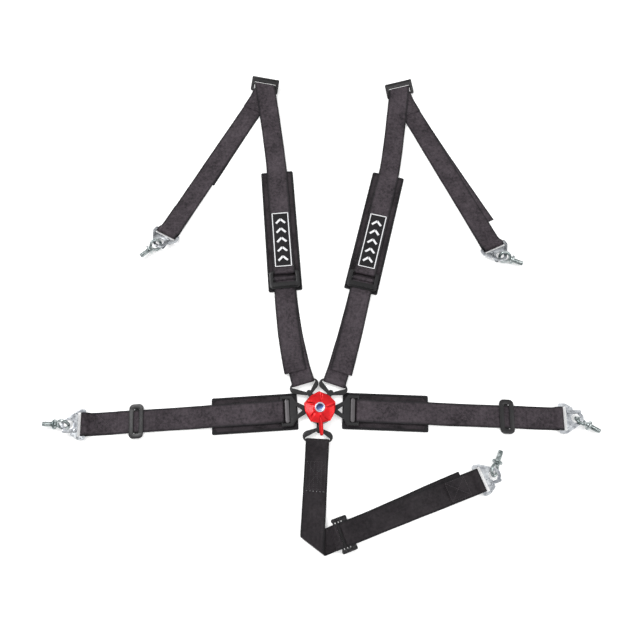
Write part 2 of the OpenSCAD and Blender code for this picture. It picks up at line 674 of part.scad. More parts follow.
shoulder_pad(1);  // shoulder_pad_right
lap_pad(0);  // lap_pad_left
lap_pad(1);  // lap_pad_right
hook(0);  // rear_hook_left
hook(1);  // rear_hook_right
hook(2);  // lap_hook_left
hook(3);  // lap_hook_right
hook(4);  // crotch_hook
gate(0);  // rear_gate_left
gate(1);  // rear_gate_right
gate(2);  // lap_gate_left
gate(3);  // lap_gate_right
gate(4);  // crotch_gate
eye_bolt(0);  // rear_eye_bolt_left
eye_bolt(1);  // rear_eye_bolt_right
eye_bolt(2);  // lap_eye_bolt_left
eye_bolt(3);  // lap_eye_bolt_right
eye_bolt(4);  // crotch_eye_bolt
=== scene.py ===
"""A racing harness laid out flat: its looks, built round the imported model. Shapes are worked out in
millimetres, in the model's own frame (+Z up, +Y to the shoulder ends, origin in the middle of the buckle's
back), and made in metres."""
from math import atan, ceil, cos, degrees, hypot, pi, radians, sin, tan

import bmesh
import bpy
from mathutils import Matrix, Vector


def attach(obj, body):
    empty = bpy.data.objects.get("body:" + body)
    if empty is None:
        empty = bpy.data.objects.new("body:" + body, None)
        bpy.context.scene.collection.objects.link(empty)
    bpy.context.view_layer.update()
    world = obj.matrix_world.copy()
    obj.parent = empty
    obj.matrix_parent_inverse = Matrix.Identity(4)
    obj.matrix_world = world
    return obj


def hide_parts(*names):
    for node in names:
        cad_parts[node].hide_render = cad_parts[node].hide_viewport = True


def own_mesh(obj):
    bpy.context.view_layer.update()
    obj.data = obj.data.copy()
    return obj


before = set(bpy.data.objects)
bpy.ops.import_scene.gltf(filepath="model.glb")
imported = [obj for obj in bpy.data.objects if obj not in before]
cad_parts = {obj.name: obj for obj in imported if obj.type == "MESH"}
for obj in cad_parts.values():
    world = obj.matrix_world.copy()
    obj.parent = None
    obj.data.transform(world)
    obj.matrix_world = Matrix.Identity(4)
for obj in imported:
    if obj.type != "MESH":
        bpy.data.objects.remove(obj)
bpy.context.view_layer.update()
scene = bpy.context.scene

MM = 0.001
SIDES = ("left", "right")

# ---------- The design's own dimensions, in millimetres and degrees ----------

WEB_W = 50.0
WEB_T = 1.6
GAP = 0.3
PAD_T = 6.0
SHOULDER_PAD = (320.0, 78.0)
LAP_PAD = (186.0, 80.0)
TONGUE_Z = 10.5
TONGUE_BAR = (Vector((-37.5, 60, 0)), Vector((32, 58.5, 0)))
TONGUE_HEADING = (107, 71)
LOW_HEADING = (100.3, 74.5)
LOW_LENGTH = (251, 256)
TAIL_DRIFT = (11, -8)
PAD_HEADING = (94.9, 76.2)
SLIDE_REACH = (548, 544)
SLIDE_DRIFT = (13.9, 25.2)
SLIDE_HEADING = (78, 106)
REAR_HEADING = (-118, -65.2)
REAR_LENGTH = (467, 479)
TAIL_LENGTH = (300, 416)
REAR_TAIL_DRIFT = (3, 16)
LAP_HEADING = (183.7, -2.2)
LAP_LENGTH = (510, 520)
LAP_BAR_AT = 83
LAP_PAD_AT = 49
CROTCH_BAR = Vector((-5.4, -69, 0))
CROTCH_HEADING = -92.9
CROTCH_DROP = 206
OUT_HEADING = 20.6
CROTCH_SLIDE_AT = 62
CROTCH_LENGTH = 303

HALF_T = WEB_T / 2
LAYER = WEB_T + GAP
LOW_Z = HALF_T + GAP
SECOND_Z = LOW_Z + LAYER
ON_PAD_Z = PAD_T + GAP + HALF_T
LAP_SLIDE_Z = 3.9
HOOK_BAR_Z = 8.0
HOOK_WRAP = 6.1
TONGUE_WRAP = 4.4
ADJUSTER_Z = ON_PAD_Z + 4.1
LOCK_WRAP = 3 + GAP + HALF_T
PAD_OVERHANG = 28
SLIDE_PITCH = 15
SLIDE_WRAP = 2.2 + GAP + HALF_T
NEAR_BAR_Z = 7.8
TOP_TILT = 30
CENTRE_BAR_Z = NEAR_BAR_Z + SLIDE_PITCH * sin(radians(TOP_TILT))


# ---------- Plane geometry ----------

def direction(angle):
    a = radians(angle)
    return Vector((cos(a), sin(a), 0))


def turned(x, y, angle):
    return x * direction(angle) + y * direction(angle + 90)


def spin(axis, angle):
    return Matrix.Rotation(radians(angle), 4, axis)


def lookup(x, table):
    """Straight-line interpolation in a list of (x, y), as OpenSCAD's own lookup."""
    if x <= table[0][0]:
        return table[0][1]
    for (x0, y0), (x1, y1) in zip(table, table[1:]):
        if x <= x1:
            return y0 + (y1 - y0) * (x - x0) / (x1 - x0)
    return table[-1][1]


def arc(centre, radius, start, end, n=10):
    """Points (along, height) of an arc in the plane of a strap's run."""
    turns = [radians(start + (end - start) * i / n) for i in range(n + 1)]
    return [(centre[0] + radius * cos(a), centre[1] + radius * sin(a)) for a in turns]


def station(s, y, z, yaw=0.0, skew=0.0):
    """The middle of a strap, and the vector from there to its left edge."""
    return Vector((s, y, z)), direction(yaw + 90) * (WEB_W / 2 / cos(radians(skew)))


def straight(pairs):
    """Stations on a strap's centre line, from (along, height)."""
    return [station(s, 0, z) for s, z in pairs]


def placed(stations, point, heading):
    turn = spin("Z", heading).to_3x3()
    return [(turn @ middle + Vector((point.x, point.y, 0)), turn @ half) for middle, half in stations]


# ---------- The straps' runs, as in the model ----------

def lock_point(i):
    return TONGUE_BAR[i] + LOW_LENGTH[i] * direction(LOW_HEADING[i])


def slide_point(i):
    return lock_point(i) + turned(SLIDE_REACH[i], SLIDE_DRIFT[i], PAD_HEADING[i])


def near_bar_point(i):
    return slide_point(i) - SLIDE_PITCH * cos(radians(TOP_TILT)) * direction(SLIDE_HEADING[i])


def low_yaw(i, s):
    bend = PAD_HEADING[i] - LOW_HEADING[i]
    length = LOW_LENGTH[i]
    return lookup(s, [(0, TONGUE_HEADING[i] - LOW_HEADING[i]), (50, -bend * (1 - 100 / length)), (length, bend)])


def low_y(i, s):
    u = s / LOW_LENGTH[i]
    return -radians(PAD_HEADING[i] - LOW_HEADING[i]) * LOW_LENGTH[i] * u * (1 - u)


def low_height(i, s):
    end = LOW_LENGTH[i]
    return lookup(s, [(0, TONGUE_Z + TONGUE_WRAP), (6, 14.2), (13, 11.5), (21, 7.8), (31, 4.6), (42, SECOND_Z),
                      (78, SECOND_Z), (98, LOW_Z), (end - 90, LOW_Z), (end - 60, LOW_Z + 2.6),
                      (end - 36, ON_PAD_Z), (end, ON_PAD_Z)])


def low_station(i, s, up=0.0, drift=0.0):
    y = low_y(i, s) + drift * (1 - s / LOW_LENGTH[i])
    return station(s, y, low_height(i, s) + up, low_yaw(i, s))


def shoulder_lower_run(i):
    end = LOW_LENGTH[i]
    yaw = TONGUE_HEADING[i] - LOW_HEADING[i]
    run = [station(s, low_y(i, s), z, low_yaw(i, s))
           for s, z in ((74, LOW_Z), (42, LOW_Z), (30, 1.5), (18, 2.7), (8, 4.6))]
    run += [station(s, 0, z, yaw) for s, z in arc((0, TONGUE_Z), TONGUE_WRAP, 270, 90)]
    run += [low_station(i, s)
            for s in (6, 13, 21, 31, 42, 60, 78, 98, 120, 142, end - 90, end - 60, end - 36, end - 20, end - 6)]
    run += [station(s, 0, z, low_yaw(i, end)) for s, z in arc((end, ADJUSTER_Z), LOCK_WRAP, -90, 185)]
    run += [station(end - 5.2, 0, ON_PAD_Z + LAYER + 0.9, low_yaw(i, end)),
            station(end - 8.5, 0, ON_PAD_Z + LAYER + 0.05, low_yaw(i, end))]
    run += [low_station(i, s, LAYER, TAIL_DRIFT[i])
            for s in (end - 20, end - 36, end - 60, end - 90, 142, 120, 98, 78, 60, 42, 31, 27)]
    return placed(run, TONGUE_BAR[i], LOW_HEADING[i])


def strap_slope(i, s):
    run = SLIDE_REACH[i] - 300
    return degrees(atan(1.25 * SLIDE_DRIFT[i] / run * (max(0, s - 300) / run) ** 0.25))


def strap_station(i, s, z, x=0.0):
    """A station of the strap over the pad; x is a further step along the top slide's own heading."""
    reach = SLIDE_REACH[i]
    ahead = SLIDE_HEADING[i] - PAD_HEADING[i]
    yaw = strap_slope(i, s)
    if s >= reach - 75:
        yaw = lookup(s, [(reach - 75, strap_slope(i, reach - 75)), (reach - 12, ahead)])
    side = SLIDE_DRIFT[i] * (max(0, s - 300) / (reach - 300)) ** 1.25
    step = x * direction(ahead)
    return station(s + step.x, side + step.y, z, yaw, yaw - strap_slope(i, s))


def shoulder_run(i):
    reach = SLIDE_REACH[i]
    top = ON_PAD_Z + LAYER
    heights = [(24, ON_PAD_Z), (440, ON_PAD_Z), (reach - 45, 8.8), (reach - 24, 12.6), (reach - 13, 15.6),
               (reach - 5, CENTRE_BAR_Z + SLIDE_WRAP - 0.3)]
    run = straight([(64, top), (46, top), (36, 10), (28, 12.4), (22, 14.4)]
                   + arc((17, ADJUSTER_Z), 3.9, 80, 280))
    run += [strap_station(i, s, lookup(s, heights))
            for s in (24, 60, 120, 180, 240, 300, 340, 380, 420, 450, reach - 75, reach - 60, reach - 45,
                      reach - 32, reach - 24, reach - 13, reach - 5)]
    run += [strap_station(i, reach, z, x)
            for x, z in arc((0, CENTRE_BAR_Z), SLIDE_WRAP, 90, -80) + [(-3.5, 9.2), (-4.5, 5.2)]]
    return placed(run, lock_point(i), PAD_HEADING[i])


def rear_station(i, s, y, z):
    yaw = lookup(s, [(0, SLIDE_HEADING[i] - REAR_HEADING[i] - 180), (70, 0)])
    return station(s, y, z, yaw, yaw)


def hook_end(length, under, over):
    """The last stretch of a strap: under the hook's bar, round it and back over the top."""
    pairs = [(-60, under), (-35, under), (-16, 1.7), (-7, 1.8)] + arc((0, HOOK_BAR_Z), HOOK_WRAP, -90, 90)
    pairs += [(-5, 12.8), (-9.5, 8.6), (-14, over + 0.9), (-24, over), (-38, over), (-72, over)]
    return straight((length + s, z) for s, z in pairs)


def rear_run(i):
    end = REAR_LENGTH[i]
    run = [rear_station(i, s, 0, z) for s, z in ((62, SECOND_Z + LAYER), (30, 5.2), (16, 7.6), (7, 10.2))]
    run += [rear_station(i, s, 0, z) for s, z in arc((0, NEAR_BAR_Z), SLIDE_WRAP, 90, 270)]
    run += [rear_station(i, s, 0, lookup(s, [(8, 3.8), (20, SECOND_Z)]))
            for s in (8, 20, 35, 50, 70, 140, 210, 280, 350, end - 100)]
    return placed(run + hook_end(end, SECOND_Z, SECOND_Z + LAYER), near_bar_point(i), REAR_HEADING[i])


def tail_run(i):
    end = TAIL_LENGTH[i]
    run = [rear_station(i, s, REAR_TAIL_DRIFT[i] * (s / end) ** 1.6, lookup(s, [(2, 1.8), (12, 1.4), (25, LOW_Z)]))
           for s in (2, 12, 25, 45, 70, end * 0.35, end * 0.5, end * 0.65, end * 0.8, end)]
    return placed(run, near_bar_point(i), REAR_HEADING[i])


def lap_run(i):
    top = ON_PAD_Z + LAYER
    pairs = [(s, ON_PAD_Z) for s in (205, 150, 110, 94)] + arc((LAP_BAR_AT, TONGUE_Z), 3.2, 275, 85)
    pairs += [(90, 12.2), (99, 9.9), (108, top), (150, top), (205, top), (222, ON_PAD_Z + 1), (240, ON_PAD_Z),
              (262, 4.8), (285, LAP_SLIDE_Z), (330, LAP_SLIDE_Z), (380, LAP_SLIDE_Z), (432, LAP_SLIDE_Z)]
    return placed(straight(pairs) + hook_end(LAP_LENGTH[i], LOW_Z, SECOND_Z), Vector((0, 0, 0)), LAP_HEADING[i])


FOLD_HIGH, FOLD_LOW = 11.0, 2.4
FOLD_R = (FOLD_HIGH - FOLD_LOW) / 2
FOLD_HEADING = (CROTCH_HEADING + OUT_HEADING) / 2
FOLD_GAIN = FOLD_R * pi / tan(radians(FOLD_HEADING - CROTCH_HEADING))
FOLD_POINT = CROTCH_BAR + CROTCH_DROP * direction(CROTCH_HEADING)
FOLD_EXIT = FOLD_POINT + FOLD_GAIN * direction(FOLD_HEADING)
CROTCH_SLIDE_POINT = FOLD_EXIT + CROTCH_SLIDE_AT * direction(OUT_HEADING)
CROTCH_TILT = -28
CROTCH_CENTRE_Z = 13.8
SEWN_BAR_X = -SLIDE_PITCH * cos(radians(CROTCH_TILT))
SEWN_BAR_Z = CROTCH_CENTRE_Z - SLIDE_PITCH * sin(radians(CROTCH_TILT))


def leaning(p, z, square, lean):
    """A station whose edge leans from square across the strap (lean 0) to along the fold's line (lean 1)."""
    h = square + lean * (FOLD_HEADING - square)
    return Vector((p.x, p.y, z)), direction(h) * (WEB_W / 2 / cos(radians(h - square)))


def crotch_upper_run():
    down, out = direction(CROTCH_HEADING), direction(OUT_HEADING)
    over_edge = direction(FOLD_HEADING - 90)
    square_in, square_out = CROTCH_HEADING + 90, OUT_HEADING - 90
    run = [leaning(CROTCH_BAR + s * down, z, square_in, 0)
           for s, z in [(104, LOW_Z), (60, LOW_Z), (34, 1.6), (20, 2.8), (8, 4.6)]
           + arc((0, TONGUE_Z), TONGUE_WRAP, 270, 90)]
    run += [leaning(CROTCH_BAR + s * down, z, square_in, lean)
            for s, z, lean in ((6, 14.2, 0), (13, 11.5, 0), (21, 7.8, 0), (31, 4.8, 0), (42, SECOND_Z, 0),
                               (70, SECOND_Z, 0), (108, SECOND_Z, 0), (130, 4.8, 0), (150, 7.4, 0.25),
                               (168, 9.8, 0.6), (184, FOLD_HIGH, 1), (CROTCH_DROP - 2, FOLD_HIGH, 1))]
    for k in range(1, 10):
        a = radians(90 - 20 * k)
        p = FOLD_POINT + FOLD_R * cos(a) * over_edge + k / 9 * FOLD_GAIN * direction(FOLD_HEADING)
        run.append(leaning(p, FOLD_LOW + FOLD_R + FOLD_R * sin(a), square_in, 1))
    sewn_bar = (CROTCH_SLIDE_AT + SEWN_BAR_X, SEWN_BAR_Z)
    run += [leaning(FOLD_EXIT + s * out, z, square_out, lean)
            for s, z, lean in ((10, 2.5, 1), (20, 3.4, 0.6), (31, 6.4, 0.25), (39, 10.6, 0), (45, 14.6, 0))]
    run += [leaning(FOLD_EXIT + s * out, z, square_out, 0)
            for s, z in arc(sewn_bar, SLIDE_WRAP, -60, 120) + [(44, 20.6), (37, 14.9)]]
    return run


def crotch_lower_run():
    run = [station(s, y, z) for s, z, y in ((272, LOW_Z, 8), (230, LOW_Z, 7), (150, LOW_Z, 4), (80, LOW_Z, 1.5),
                                            (45, 1.3, 0.5), (26, 1.9, 0), (13, 2.7, 0), (6, 6.4, 0))]
    run += straight(arc((0, CROTCH_CENTRE_Z), SLIDE_WRAP, 290, 85)
                    + [(6, 14.4), (13.5, 10.6), (24, 7), (38, 4.2), (55, SECOND_Z), (120, SECOND_Z),
                       (200, SECOND_Z)])
    run += hook_end(CROTCH_LENGTH, SECOND_Z, SECOND_Z + LAYER)
    return placed(run, CROTCH_SLIDE_POINT, OUT_HEADING)


# ---------- Meshes ----------

def link(thing):
    scene.collection.objects.link(thing)
    return thing


def make(name, points, faces, material, smooth=True):
    """A mesh object from points in millimetres."""
    mesh = bpy.data.meshes.new(name)
    mesh.from_pydata([Vector(p) * MM for p in points], [], faces)
    mesh.update()
    piece = link(bpy.data.objects.new(name, mesh))
    mesh.materials.append(material)
    for face in mesh.polygons:
        face.use_smooth = smooth
    return piece


def finish(piece, body, slot, *nodes):
    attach(piece, body)
    if nodes:
        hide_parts(*nodes)


def settle(piece):
    """Makes what a piece's modifiers show its own mesh."""
    bpy.context.view_layer.update()
    evaluated = piece.evaluated_get(bpy.context.evaluated_depsgraph_get())
    mesh = bpy.data.meshes.new_from_object(evaluated)
    piece.modifiers.clear()
    piece.data = mesh


def loft(rings, loop=False):
    """Points and faces of a closed tube through rings of equally many points."""
    n, count = len(rings[0]), len(rings)
    points = [p for ring in rings for p in ring]
    faces = []
    for i in range(count if loop else count - 1):
        a, b = i * n, (i + 1) % count * n
        for k in range(n):
            m = (k + 1) % n
            faces.append((a + k, a + m, b + m, b + k))
    if not loop:
        faces.append(tuple(reversed(range(n))))
        faces.append(tuple((count - 1) * n + k for k in range(n)))
    return points, faces


def merged(meshes):
    """One list of points and one of faces, from several (points, faces)."""
    points, faces = [], []
    for more_points, more_faces in meshes:
        faces += [tuple(k + len(points) for k in face) for face in more_faces]
        points += more_points
    return points, faces


def circle(n, radius=1.0):
    return [(radius * cos(2 * pi * k / n), radius * sin(2 * pi * k / n)) for k in range(n)]


def store(piece, name, vectors):
    attribute = piece.data.attributes.new(name, "FLOAT_VECTOR", "POINT")
    attribute.data.foreach_set("vector", [c for vector in vectors for c in vector])


def monotone_slopes(t, v):
    """Slopes of a curve through values v at t that never overshoots them."""
    n = len(t)
    secants = [(v[i + 1] - v[i]) / (t[i + 1] - t[i]) for i in range(n - 1)]
    slopes = [secants[0]] + [0.0] * (n - 2) + [secants[-1]]
    for i in range(1, n - 1):
        a, b = secants[i - 1], secants[i]
        if a * b > 0:
            w1 = 2 * (t[i + 1] - t[i]) + (t[i] - t[i - 1])
            w2 = (t[i + 1] - t[i]) + 2 * (t[i] - t[i - 1])
            slopes[i] = (w1 + w2) / (w1 / a + w2 / b)
    return slopes


class Track:
    """A strap's run as a smooth curve: a middle and a half-width vector at each distance along it."""

    def __init__(self, stations):
        self.values = [tuple(middle) + tuple(half) for middle, half in stations]
        self.t = [0.0]
        for (a, _), (b, _) in zip(stations, stations[1:]):
            self.t.append(self.t[-1] + max((b - a).length, 1e-6))
        columns = list(zip(*self.values))
        self.slopes = list(zip(*(monotone_slopes(self.t, column) for column in columns)))
        self.length = self.t[-1]

    def sample(self, u):
        u = min(max(u, 0.0), self.length)
        i = max(0, min(len(self.t) - 2, sum(1 for t in self.t if t <= u) - 1))
        h = self.t[i + 1] - self.t[i]
        x = (u - self.t[i]) / h
        a = 2 * x ** 3 - 3 * x ** 2 + 1
        b = x ** 3 - 2 * x ** 2 + x
        c = 3 * x ** 2 - 2 * x ** 3
        d = x ** 3 - x ** 2
        v = [a * p + b * h * m + c * q + d * h * k for p, m, q, k in
             zip(self.values[i], self.slopes[i], self.values[i + 1], self.slopes[i + 1])]
        return Vector(v[:3]), Vector(v[3:])

    def at(self, u, across=0.0, up=0.0):
        """A point of the strap, so far to the left of its middle and so far above it, and the normal there."""
        middle, half = self.sample(u)
        ahead = self.sample(min(u + 0.5, self.length))[0] - self.sample(max(u - 0.5, 0))[0]
        normal = ahead.cross(half).normalized()
        return middle + half * (across / (WEB_W / 2)) + normal * up, normal

    def steps(self, longest=4.0):
        """Distances for rings: every station, and more where stations are far apart."""
        out = [0.0]
        for a, b in zip(self.t, self.t[1:]):
            n = max(1 if b - a < 1.2 else 2, ceil((b - a) / longest))
            out += [a + (b - a) * (k + 1) / n for k in range(n)]
        return out


# Half of a strap's cross-section, from the left edge along the top, in shares of its half width and thickness
SECTION = [(1.0, 0.0), (0.992, 0.72), (0.972, 1.0), (0.93, 1.0), (0.905, 0.78), (0.88, 0.94), (0.6, 0.94),
           (0.3, 0.94), (0.0, 0.94)]
TOP_SIDE = SECTION + [(-x, z) for x, z in reversed(SECTION[:-1])]
OUTLINE = TOP_SIDE + [(x, -z) for x, z in reversed(TOP_SIDE[1:-1])]
VISIBLE_T = WEB_T - 0.06
# How far a stitch's middle is from the strap's middle, on the face that looks up
UP_FACE = VISIBLE_T / 2 + 0.1


def webbing(name, body, stations, material, node):
    """A strap with thick selvedges; its weave attribute holds the distances along and across it, in metres."""
    track = Track(stations)
    rings, weave = [], []
    for u in track.steps():
        middle, half = track.sample(u)
        normal = track.at(u)[1]
        wander = 0.006 * sin(u / 37.0) + 0.004 * sin(u / 13.0 + 1.3)
        rings.append([middle + half * (x + wander * (1 if x > 0 else -1) * (abs(x) > 0.99))
                      + normal * (z * VISIBLE_T / 2) for x, z in OUTLINE])
        weave += [(u * MM, x * WEB_W / 2 * MM, 0.0) for x, _ in OUTLINE]
    piece = make(name, *loft(rings), material)
    store(piece, "weave", weave)
    finish(piece, body, "webbing", node)
    return track


# A stitch from end to end: share of its length, share of its full thickness
STITCH = ((-0.5, 0.35), (-0.3, 0.9), (0.0, 1.0), (0.3, 0.9), (0.5, 0.35))


def sew(name, body, rows, material, pitch=4.0, long=3.0, thick=0.75):
    """Rows of stitches. A row is a function from 0 to 1 to (point, normal), and its length in millimetres."""
    stitches = []
    for row, length in rows:
        n = max(1, round(length / pitch))
        reach = long / 2 / length
        for mid in ((k + 0.5) / n for k in range(n)):
            p, normal = row(mid)
            ahead = row(min(1, mid + reach))[0] - row(max(0, mid - reach))[0]
            if ahead.length < 1e-6:
                continue
            ahead.normalize()
            side = normal.cross(ahead)
            rings = []
            for x, share in STITCH:
                dip = -0.35 * thick * (2 * x) ** 2
                r = share * thick / 2
                rings.append([p + ahead * (x * long) + normal * (dip + r * b) + side * (r * a)
                              for a, b in circle(6)])
            stitches.append(loft(rings))
    finish(make(name, *merged(stitches), material), body, "webbing")


def on_strap(track, u0, v0, u1, v1, up):
    """A straight row of stitches on a strap's face, from (u0, v0) to (u1, v1)."""
    def row(x):
        p, normal = track.at(u0 + (u1 - u0) * x, v0 + (v1 - v0) * x, up)
        return p, normal if up > 0 else -normal
    return row, hypot(u1 - u0, v1 - v0)


def box_stitch(track, u0, u1, half_width, up):
    """A sewn box with a cross in it."""
    w = half_width
    corners = [(u0, -w), (u1, -w), (u1, w), (u0, w), (u0, -w), (u1, w)]
    rows = [on_strap(track, *a, *b, up) for a, b in zip(corners, corners[1:])]
    return rows + [on_strap(track, u0, w, u1, -w, up)]


# ---------- Materials ----------

class Nodes:
    """A new material's node tree, with short ways to add nodes to it."""

    def __init__(self, name):
        self.material = bpy.data.materials.new(name)
        self.material.use_nodes = True
        self.tree = self.material.node_tree
        self.shader = self.tree.nodes["Principled BSDF"]

    def add(self, kind, inputs=(), **settings):
        """A new node with its settings; inputs are (number or name, value), and None leaves one as it is."""
        node = self.tree.nodes.new("ShaderNode" + kind)
        for key, value in settings.items():
            setattr(node, key, value)
        for key, value in inputs:
            if value is not None:
                self.feed(node.inputs[key], value)
        return node

    def feed(self, socket, value):
        """Links another node's output to a socket, or sets a number or an (r, g, b) colour on it."""
        if isinstance(value, bpy.types.NodeSocket):
            self.tree.links.new(value, socket)
        else:
            socket.default_value = (*value, 1) if isinstance(value, tuple) else value

    def math(self, operation, *values):
        return self.add("Math", enumerate(values), operation=operation).outputs[0]

    def plus(self, a, b):
        return self.math("ADD", a, b)

    def times(self, a, b):
        return self.math("MULTIPLY", a, b)

    def wave(self, value, pitch):
        """Parallel ribs, pitch apart in metres."""
        return self.math("SINE", self.times(value, 2 * pi / pitch))

    def place(self):
        return self.add("TexCoord").outputs["Object"]

    def noise(self, scale, detail=3.0, roughness=0.5):
        inputs = (("Scale", scale), ("Detail", detail), ("Roughness", roughness), ("Vector", self.place()))
        return self.add("TexNoise", inputs).outputs["Fac"]

    def edges(self, start, end):
        """0 on faces and in hollows, rising to 1 on sharp edges."""
        return self.ramp(self.add("NewGeometry").outputs["Pointiness"], (start, 0.0), (end, 1.0))

    def split(self, vector):
        return self.add("SeparateXYZ", [(0, vector)]).outputs

    def ramp(self, value, *stops):
        node = self.add("ValToRGB", [(0, value)])
        elements = node.color_ramp.elements
        while len(elements) < len(stops):
            elements.new(0.5)
        for element, (at, colour) in zip(elements, stops):
            element.position = at
            element.color = (*colour, 1) if isinstance(colour, tuple) else (colour, colour, colour, 1)
        return node.outputs[0]

    def mix(self, share, a, b):
        return self.add("Mix", ((0, share), (6, a), (7, b)), data_type="RGBA").outputs[2]

    def bump(self, height, strength, distance, normal=None):
        """A normal from a height that spans distance metres, on top of another normal where one is given."""
        inputs = (("Strength", strength), ("Distance", distance), ("Height", height), ("Normal", normal))
        return self.add("Bump", inputs).outputs[0]

    def set(self, **inputs):
        names = {"colour": "Base Color", "specular": "Specular IOR Level", "sheen": "Sheen Weight",
                 "coat": "Coat Weight"}
        for key, value in inputs.items():
            self.feed(self.shader.inputs[names.get(key, key.replace("_", " ").title())], value)
        return self.material


# Pitches of the weaves, in metres
RIB, CHEVRON, STRAND, EDGE_RIB, CANVAS = 0.0021, 0.0042, 0.0014, 0.0016, 0.0016
SELVEDGE = 0.0021
# How far in from a strap's edge the painted shade reaches, in metres
EDGE_SHADE = 0.006


def webbing_material(name, gain):
    """Polyester webbing: a fine herringbone of ribs, plain selvedges, painted shade that darkens the colour over
    the last 6 mm towards each edge, and a soft, uneven sheen.
    """
    m = Nodes(name)
    attribute = m.add("Attribute", attribute_name="weave")
    along, across, _ = m.split(attribute.outputs["Vector"])
    rib = m.wave(m.plus(along, m.math("PINGPONG", across, CHEVRON)), RIB)
    from_edge = m.math("SUBTRACT", WEB_W / 2 * MM, m.math("ABSOLUTE", across))
    selvedge = m.math("LESS_THAN", from_edge, SELVEDGE)
    weave = m.plus(m.times(rib, 0.5), m.times(m.wave(across, STRAND), 0.3))
    height = m.plus(m.times(weave, m.math("SUBTRACT", 1.0, selvedge)),
                    m.times(m.wave(along, EDGE_RIB), m.times(selvedge, 0.5)))
    patches, mottle = m.noise(16.0, 5.0, 0.65), m.noise(170.0, 4.0, 0.7)
    worn = m.plus(m.times(patches, 0.55), m.times(mottle, 0.85))
    tone = m.plus(m.times(height, 0.2), m.plus(worn, m.times(m.noise(900.0, 2.0), 0.2)))
    dark, light = (0.004, 0.0032, 0.0042), (0.066 * gain, 0.052 * gain, 0.062 * gain)
    shade = m.mix(m.ramp(tone, (0.55, 0.0), (1.0, 1.0)), dark, light)
    # Painted shade: the colour darkens to near black over the last EDGE_SHADE metres towards each edge of the
    # strap
    painted_edge_shade = m.ramp(m.times(from_edge, 1 / EDGE_SHADE), (0.0, 0.0), (1.0, 1.0))
    return m.set(colour=m.mix(painted_edge_shade, (0.004, 0.004, 0.005), shade),
                 roughness=m.ramp(patches, (0.35, 0.7), (0.65, 0.38)), specular=0.2, sheen=0.06,
                 sheen_roughness=0.35, sheen_tint=(0.8, 0.72, 0.78),
                 normal=m.bump(height, 0.6, 0.0005, m.bump(patches, 0.3, 0.004)))


def pad_material():
    """The pads' woven nylon cover."""
    m = Nodes("pad_cover")
    x, y, _ = m.split(m.place())
    weave = m.times(m.wave(x, CANVAS), m.wave(y, CANVAS))
    patches, mottle = m.noise(22.0, 4.0, 0.6), m.noise(170.0, 4.0, 0.7)
    tone = m.plus(m.times(weave, 0.1), m.plus(patches, m.times(mottle, 0.8)))
    colour = m.mix(m.ramp(tone, (0.65, 0.0), (1.15, 1.0)), (0.0025, 0.002, 0.0025), (0.026, 0.020, 0.024))
    return m.set(colour=colour, roughness=m.ramp(patches, (0.3, 0.8), (0.7, 0.5)), specular=0.18, sheen=0.05,
                 sheen_roughness=0.4, sheen_tint=(0.75, 0.65, 0.72),
                 normal=m.bump(weave, 0.4, 0.0004, m.bump(m.noise(60.0, 2.0), 0.35, 0.003)))


def tape_material():
    """Grosgrain binding tape, finely ribbed."""
    m = Nodes("binding_tape")
    return m.set(colour=m.mix(m.noise(30.0), (0.003, 0.003, 0.0035), (0.013, 0.012, 0.014)), roughness=0.7,
                 specular=0.2, sheen=0.05, sheen_roughness=0.4, sheen_tint=(0.8, 0.75, 0.82),
                 normal=m.bump(m.noise(1400.0, 1.0), 0.4, 0.0005))


def thread_material(name, dark, light):
    m = Nodes(name)
    return m.set(colour=m.mix(m.noise(300.0, 2.0), dark, light), roughness=0.6, specular=0.25, sheen=0.1,
                 sheen_roughness=0.4, sheen_tint=(0.9, 0.88, 0.92),
                 normal=m.bump(m.noise(2600.0, 1.0), 0.5, 0.0003))


def black_metal_material():
    """Black e-coated steel, with a fine orange peel and a painted highlight that makes sharp edges paler, broken
    up by noise.
    """
    m = Nodes("black_metal")
    edge_highlight_breaks = m.ramp(m.noise(260.0, 6.0, 0.7), (0.5, 0.0), (0.72, 1.0))
    coat = m.mix(m.noise(40.0), (0.0035, 0.0035, 0.004), (0.011, 0.0105, 0.0115))
    # Painted highlight: sharp edges, where the noise lets it through, are coloured a paler grey
    return m.set(colour=m.mix(m.times(m.edges(0.52, 0.6), edge_highlight_breaks), coat, (0.09, 0.086, 0.09)), metallic=0.2,
                 roughness=m.ramp(m.noise(90.0, 4.0), (0.3, 0.26), (0.7, 0.42)), specular=0.3, coat=0.08,
                 coat_roughness=0.2, normal=m.bump(m.noise(700.0, 2.0), 0.2, 0.0003))


def grey_metal_material():
    m = Nodes("grey_metal")
    scratches = m.noise(500.0, 5.0, 0.7)
    return m.set(colour=m.mix(scratches, (0.045, 0.042, 0.045), (0.13, 0.122, 0.127)), metallic=0.85,
                 roughness=m.ramp(scratches, (0.3, 0.34), (0.7, 0.5)), normal=m.bump(scratches, 0.2, 0.0002))


def plated_material(name, dull, bright):
    """Zinc plate on stamped steel: cloudy, with painted light: the plate's colour shows only on sharp edges as a
    painted highlight, broken up by noise, and elsewhere the colour is painted darker, at 0.3 of the dull tone.
    """
    m = Nodes(name)
    clouds = m.noise(70.0, 4.0, 0.6)
    painted_rim_breaks = m.ramp(m.noise(220.0), (0.30, 0.0), (0.42, 1.0))
    plate = m.mix(m.ramp(clouds, (0.35, 0.0), (0.65, 1.0)), dull, bright)
    # Painted highlight: the plate colour only on sharp edges where the noise allows, everything else painted
    # darker
    colour = m.mix(m.times(m.edges(0.40, 0.48), painted_rim_breaks), tuple(c * 0.3 for c in dull), plate)
    return m.set(colour=colour, metallic=1.0, roughness=m.ramp(clouds, (0.3, 0.2), (0.7, 0.36)),
                 normal=m.bump(m.noise(180.0), 0.12, 0.0003))


def spring_material():
    m = Nodes("spring_steel")
    drawn = m.noise(900.0)
    return m.set(colour=m.mix(drawn, (0.42, 0.42, 0.44), (0.62, 0.62, 0.64)), metallic=1.0,
                 roughness=m.ramp(drawn, (0.3, 0.22), (0.7, 0.38)))


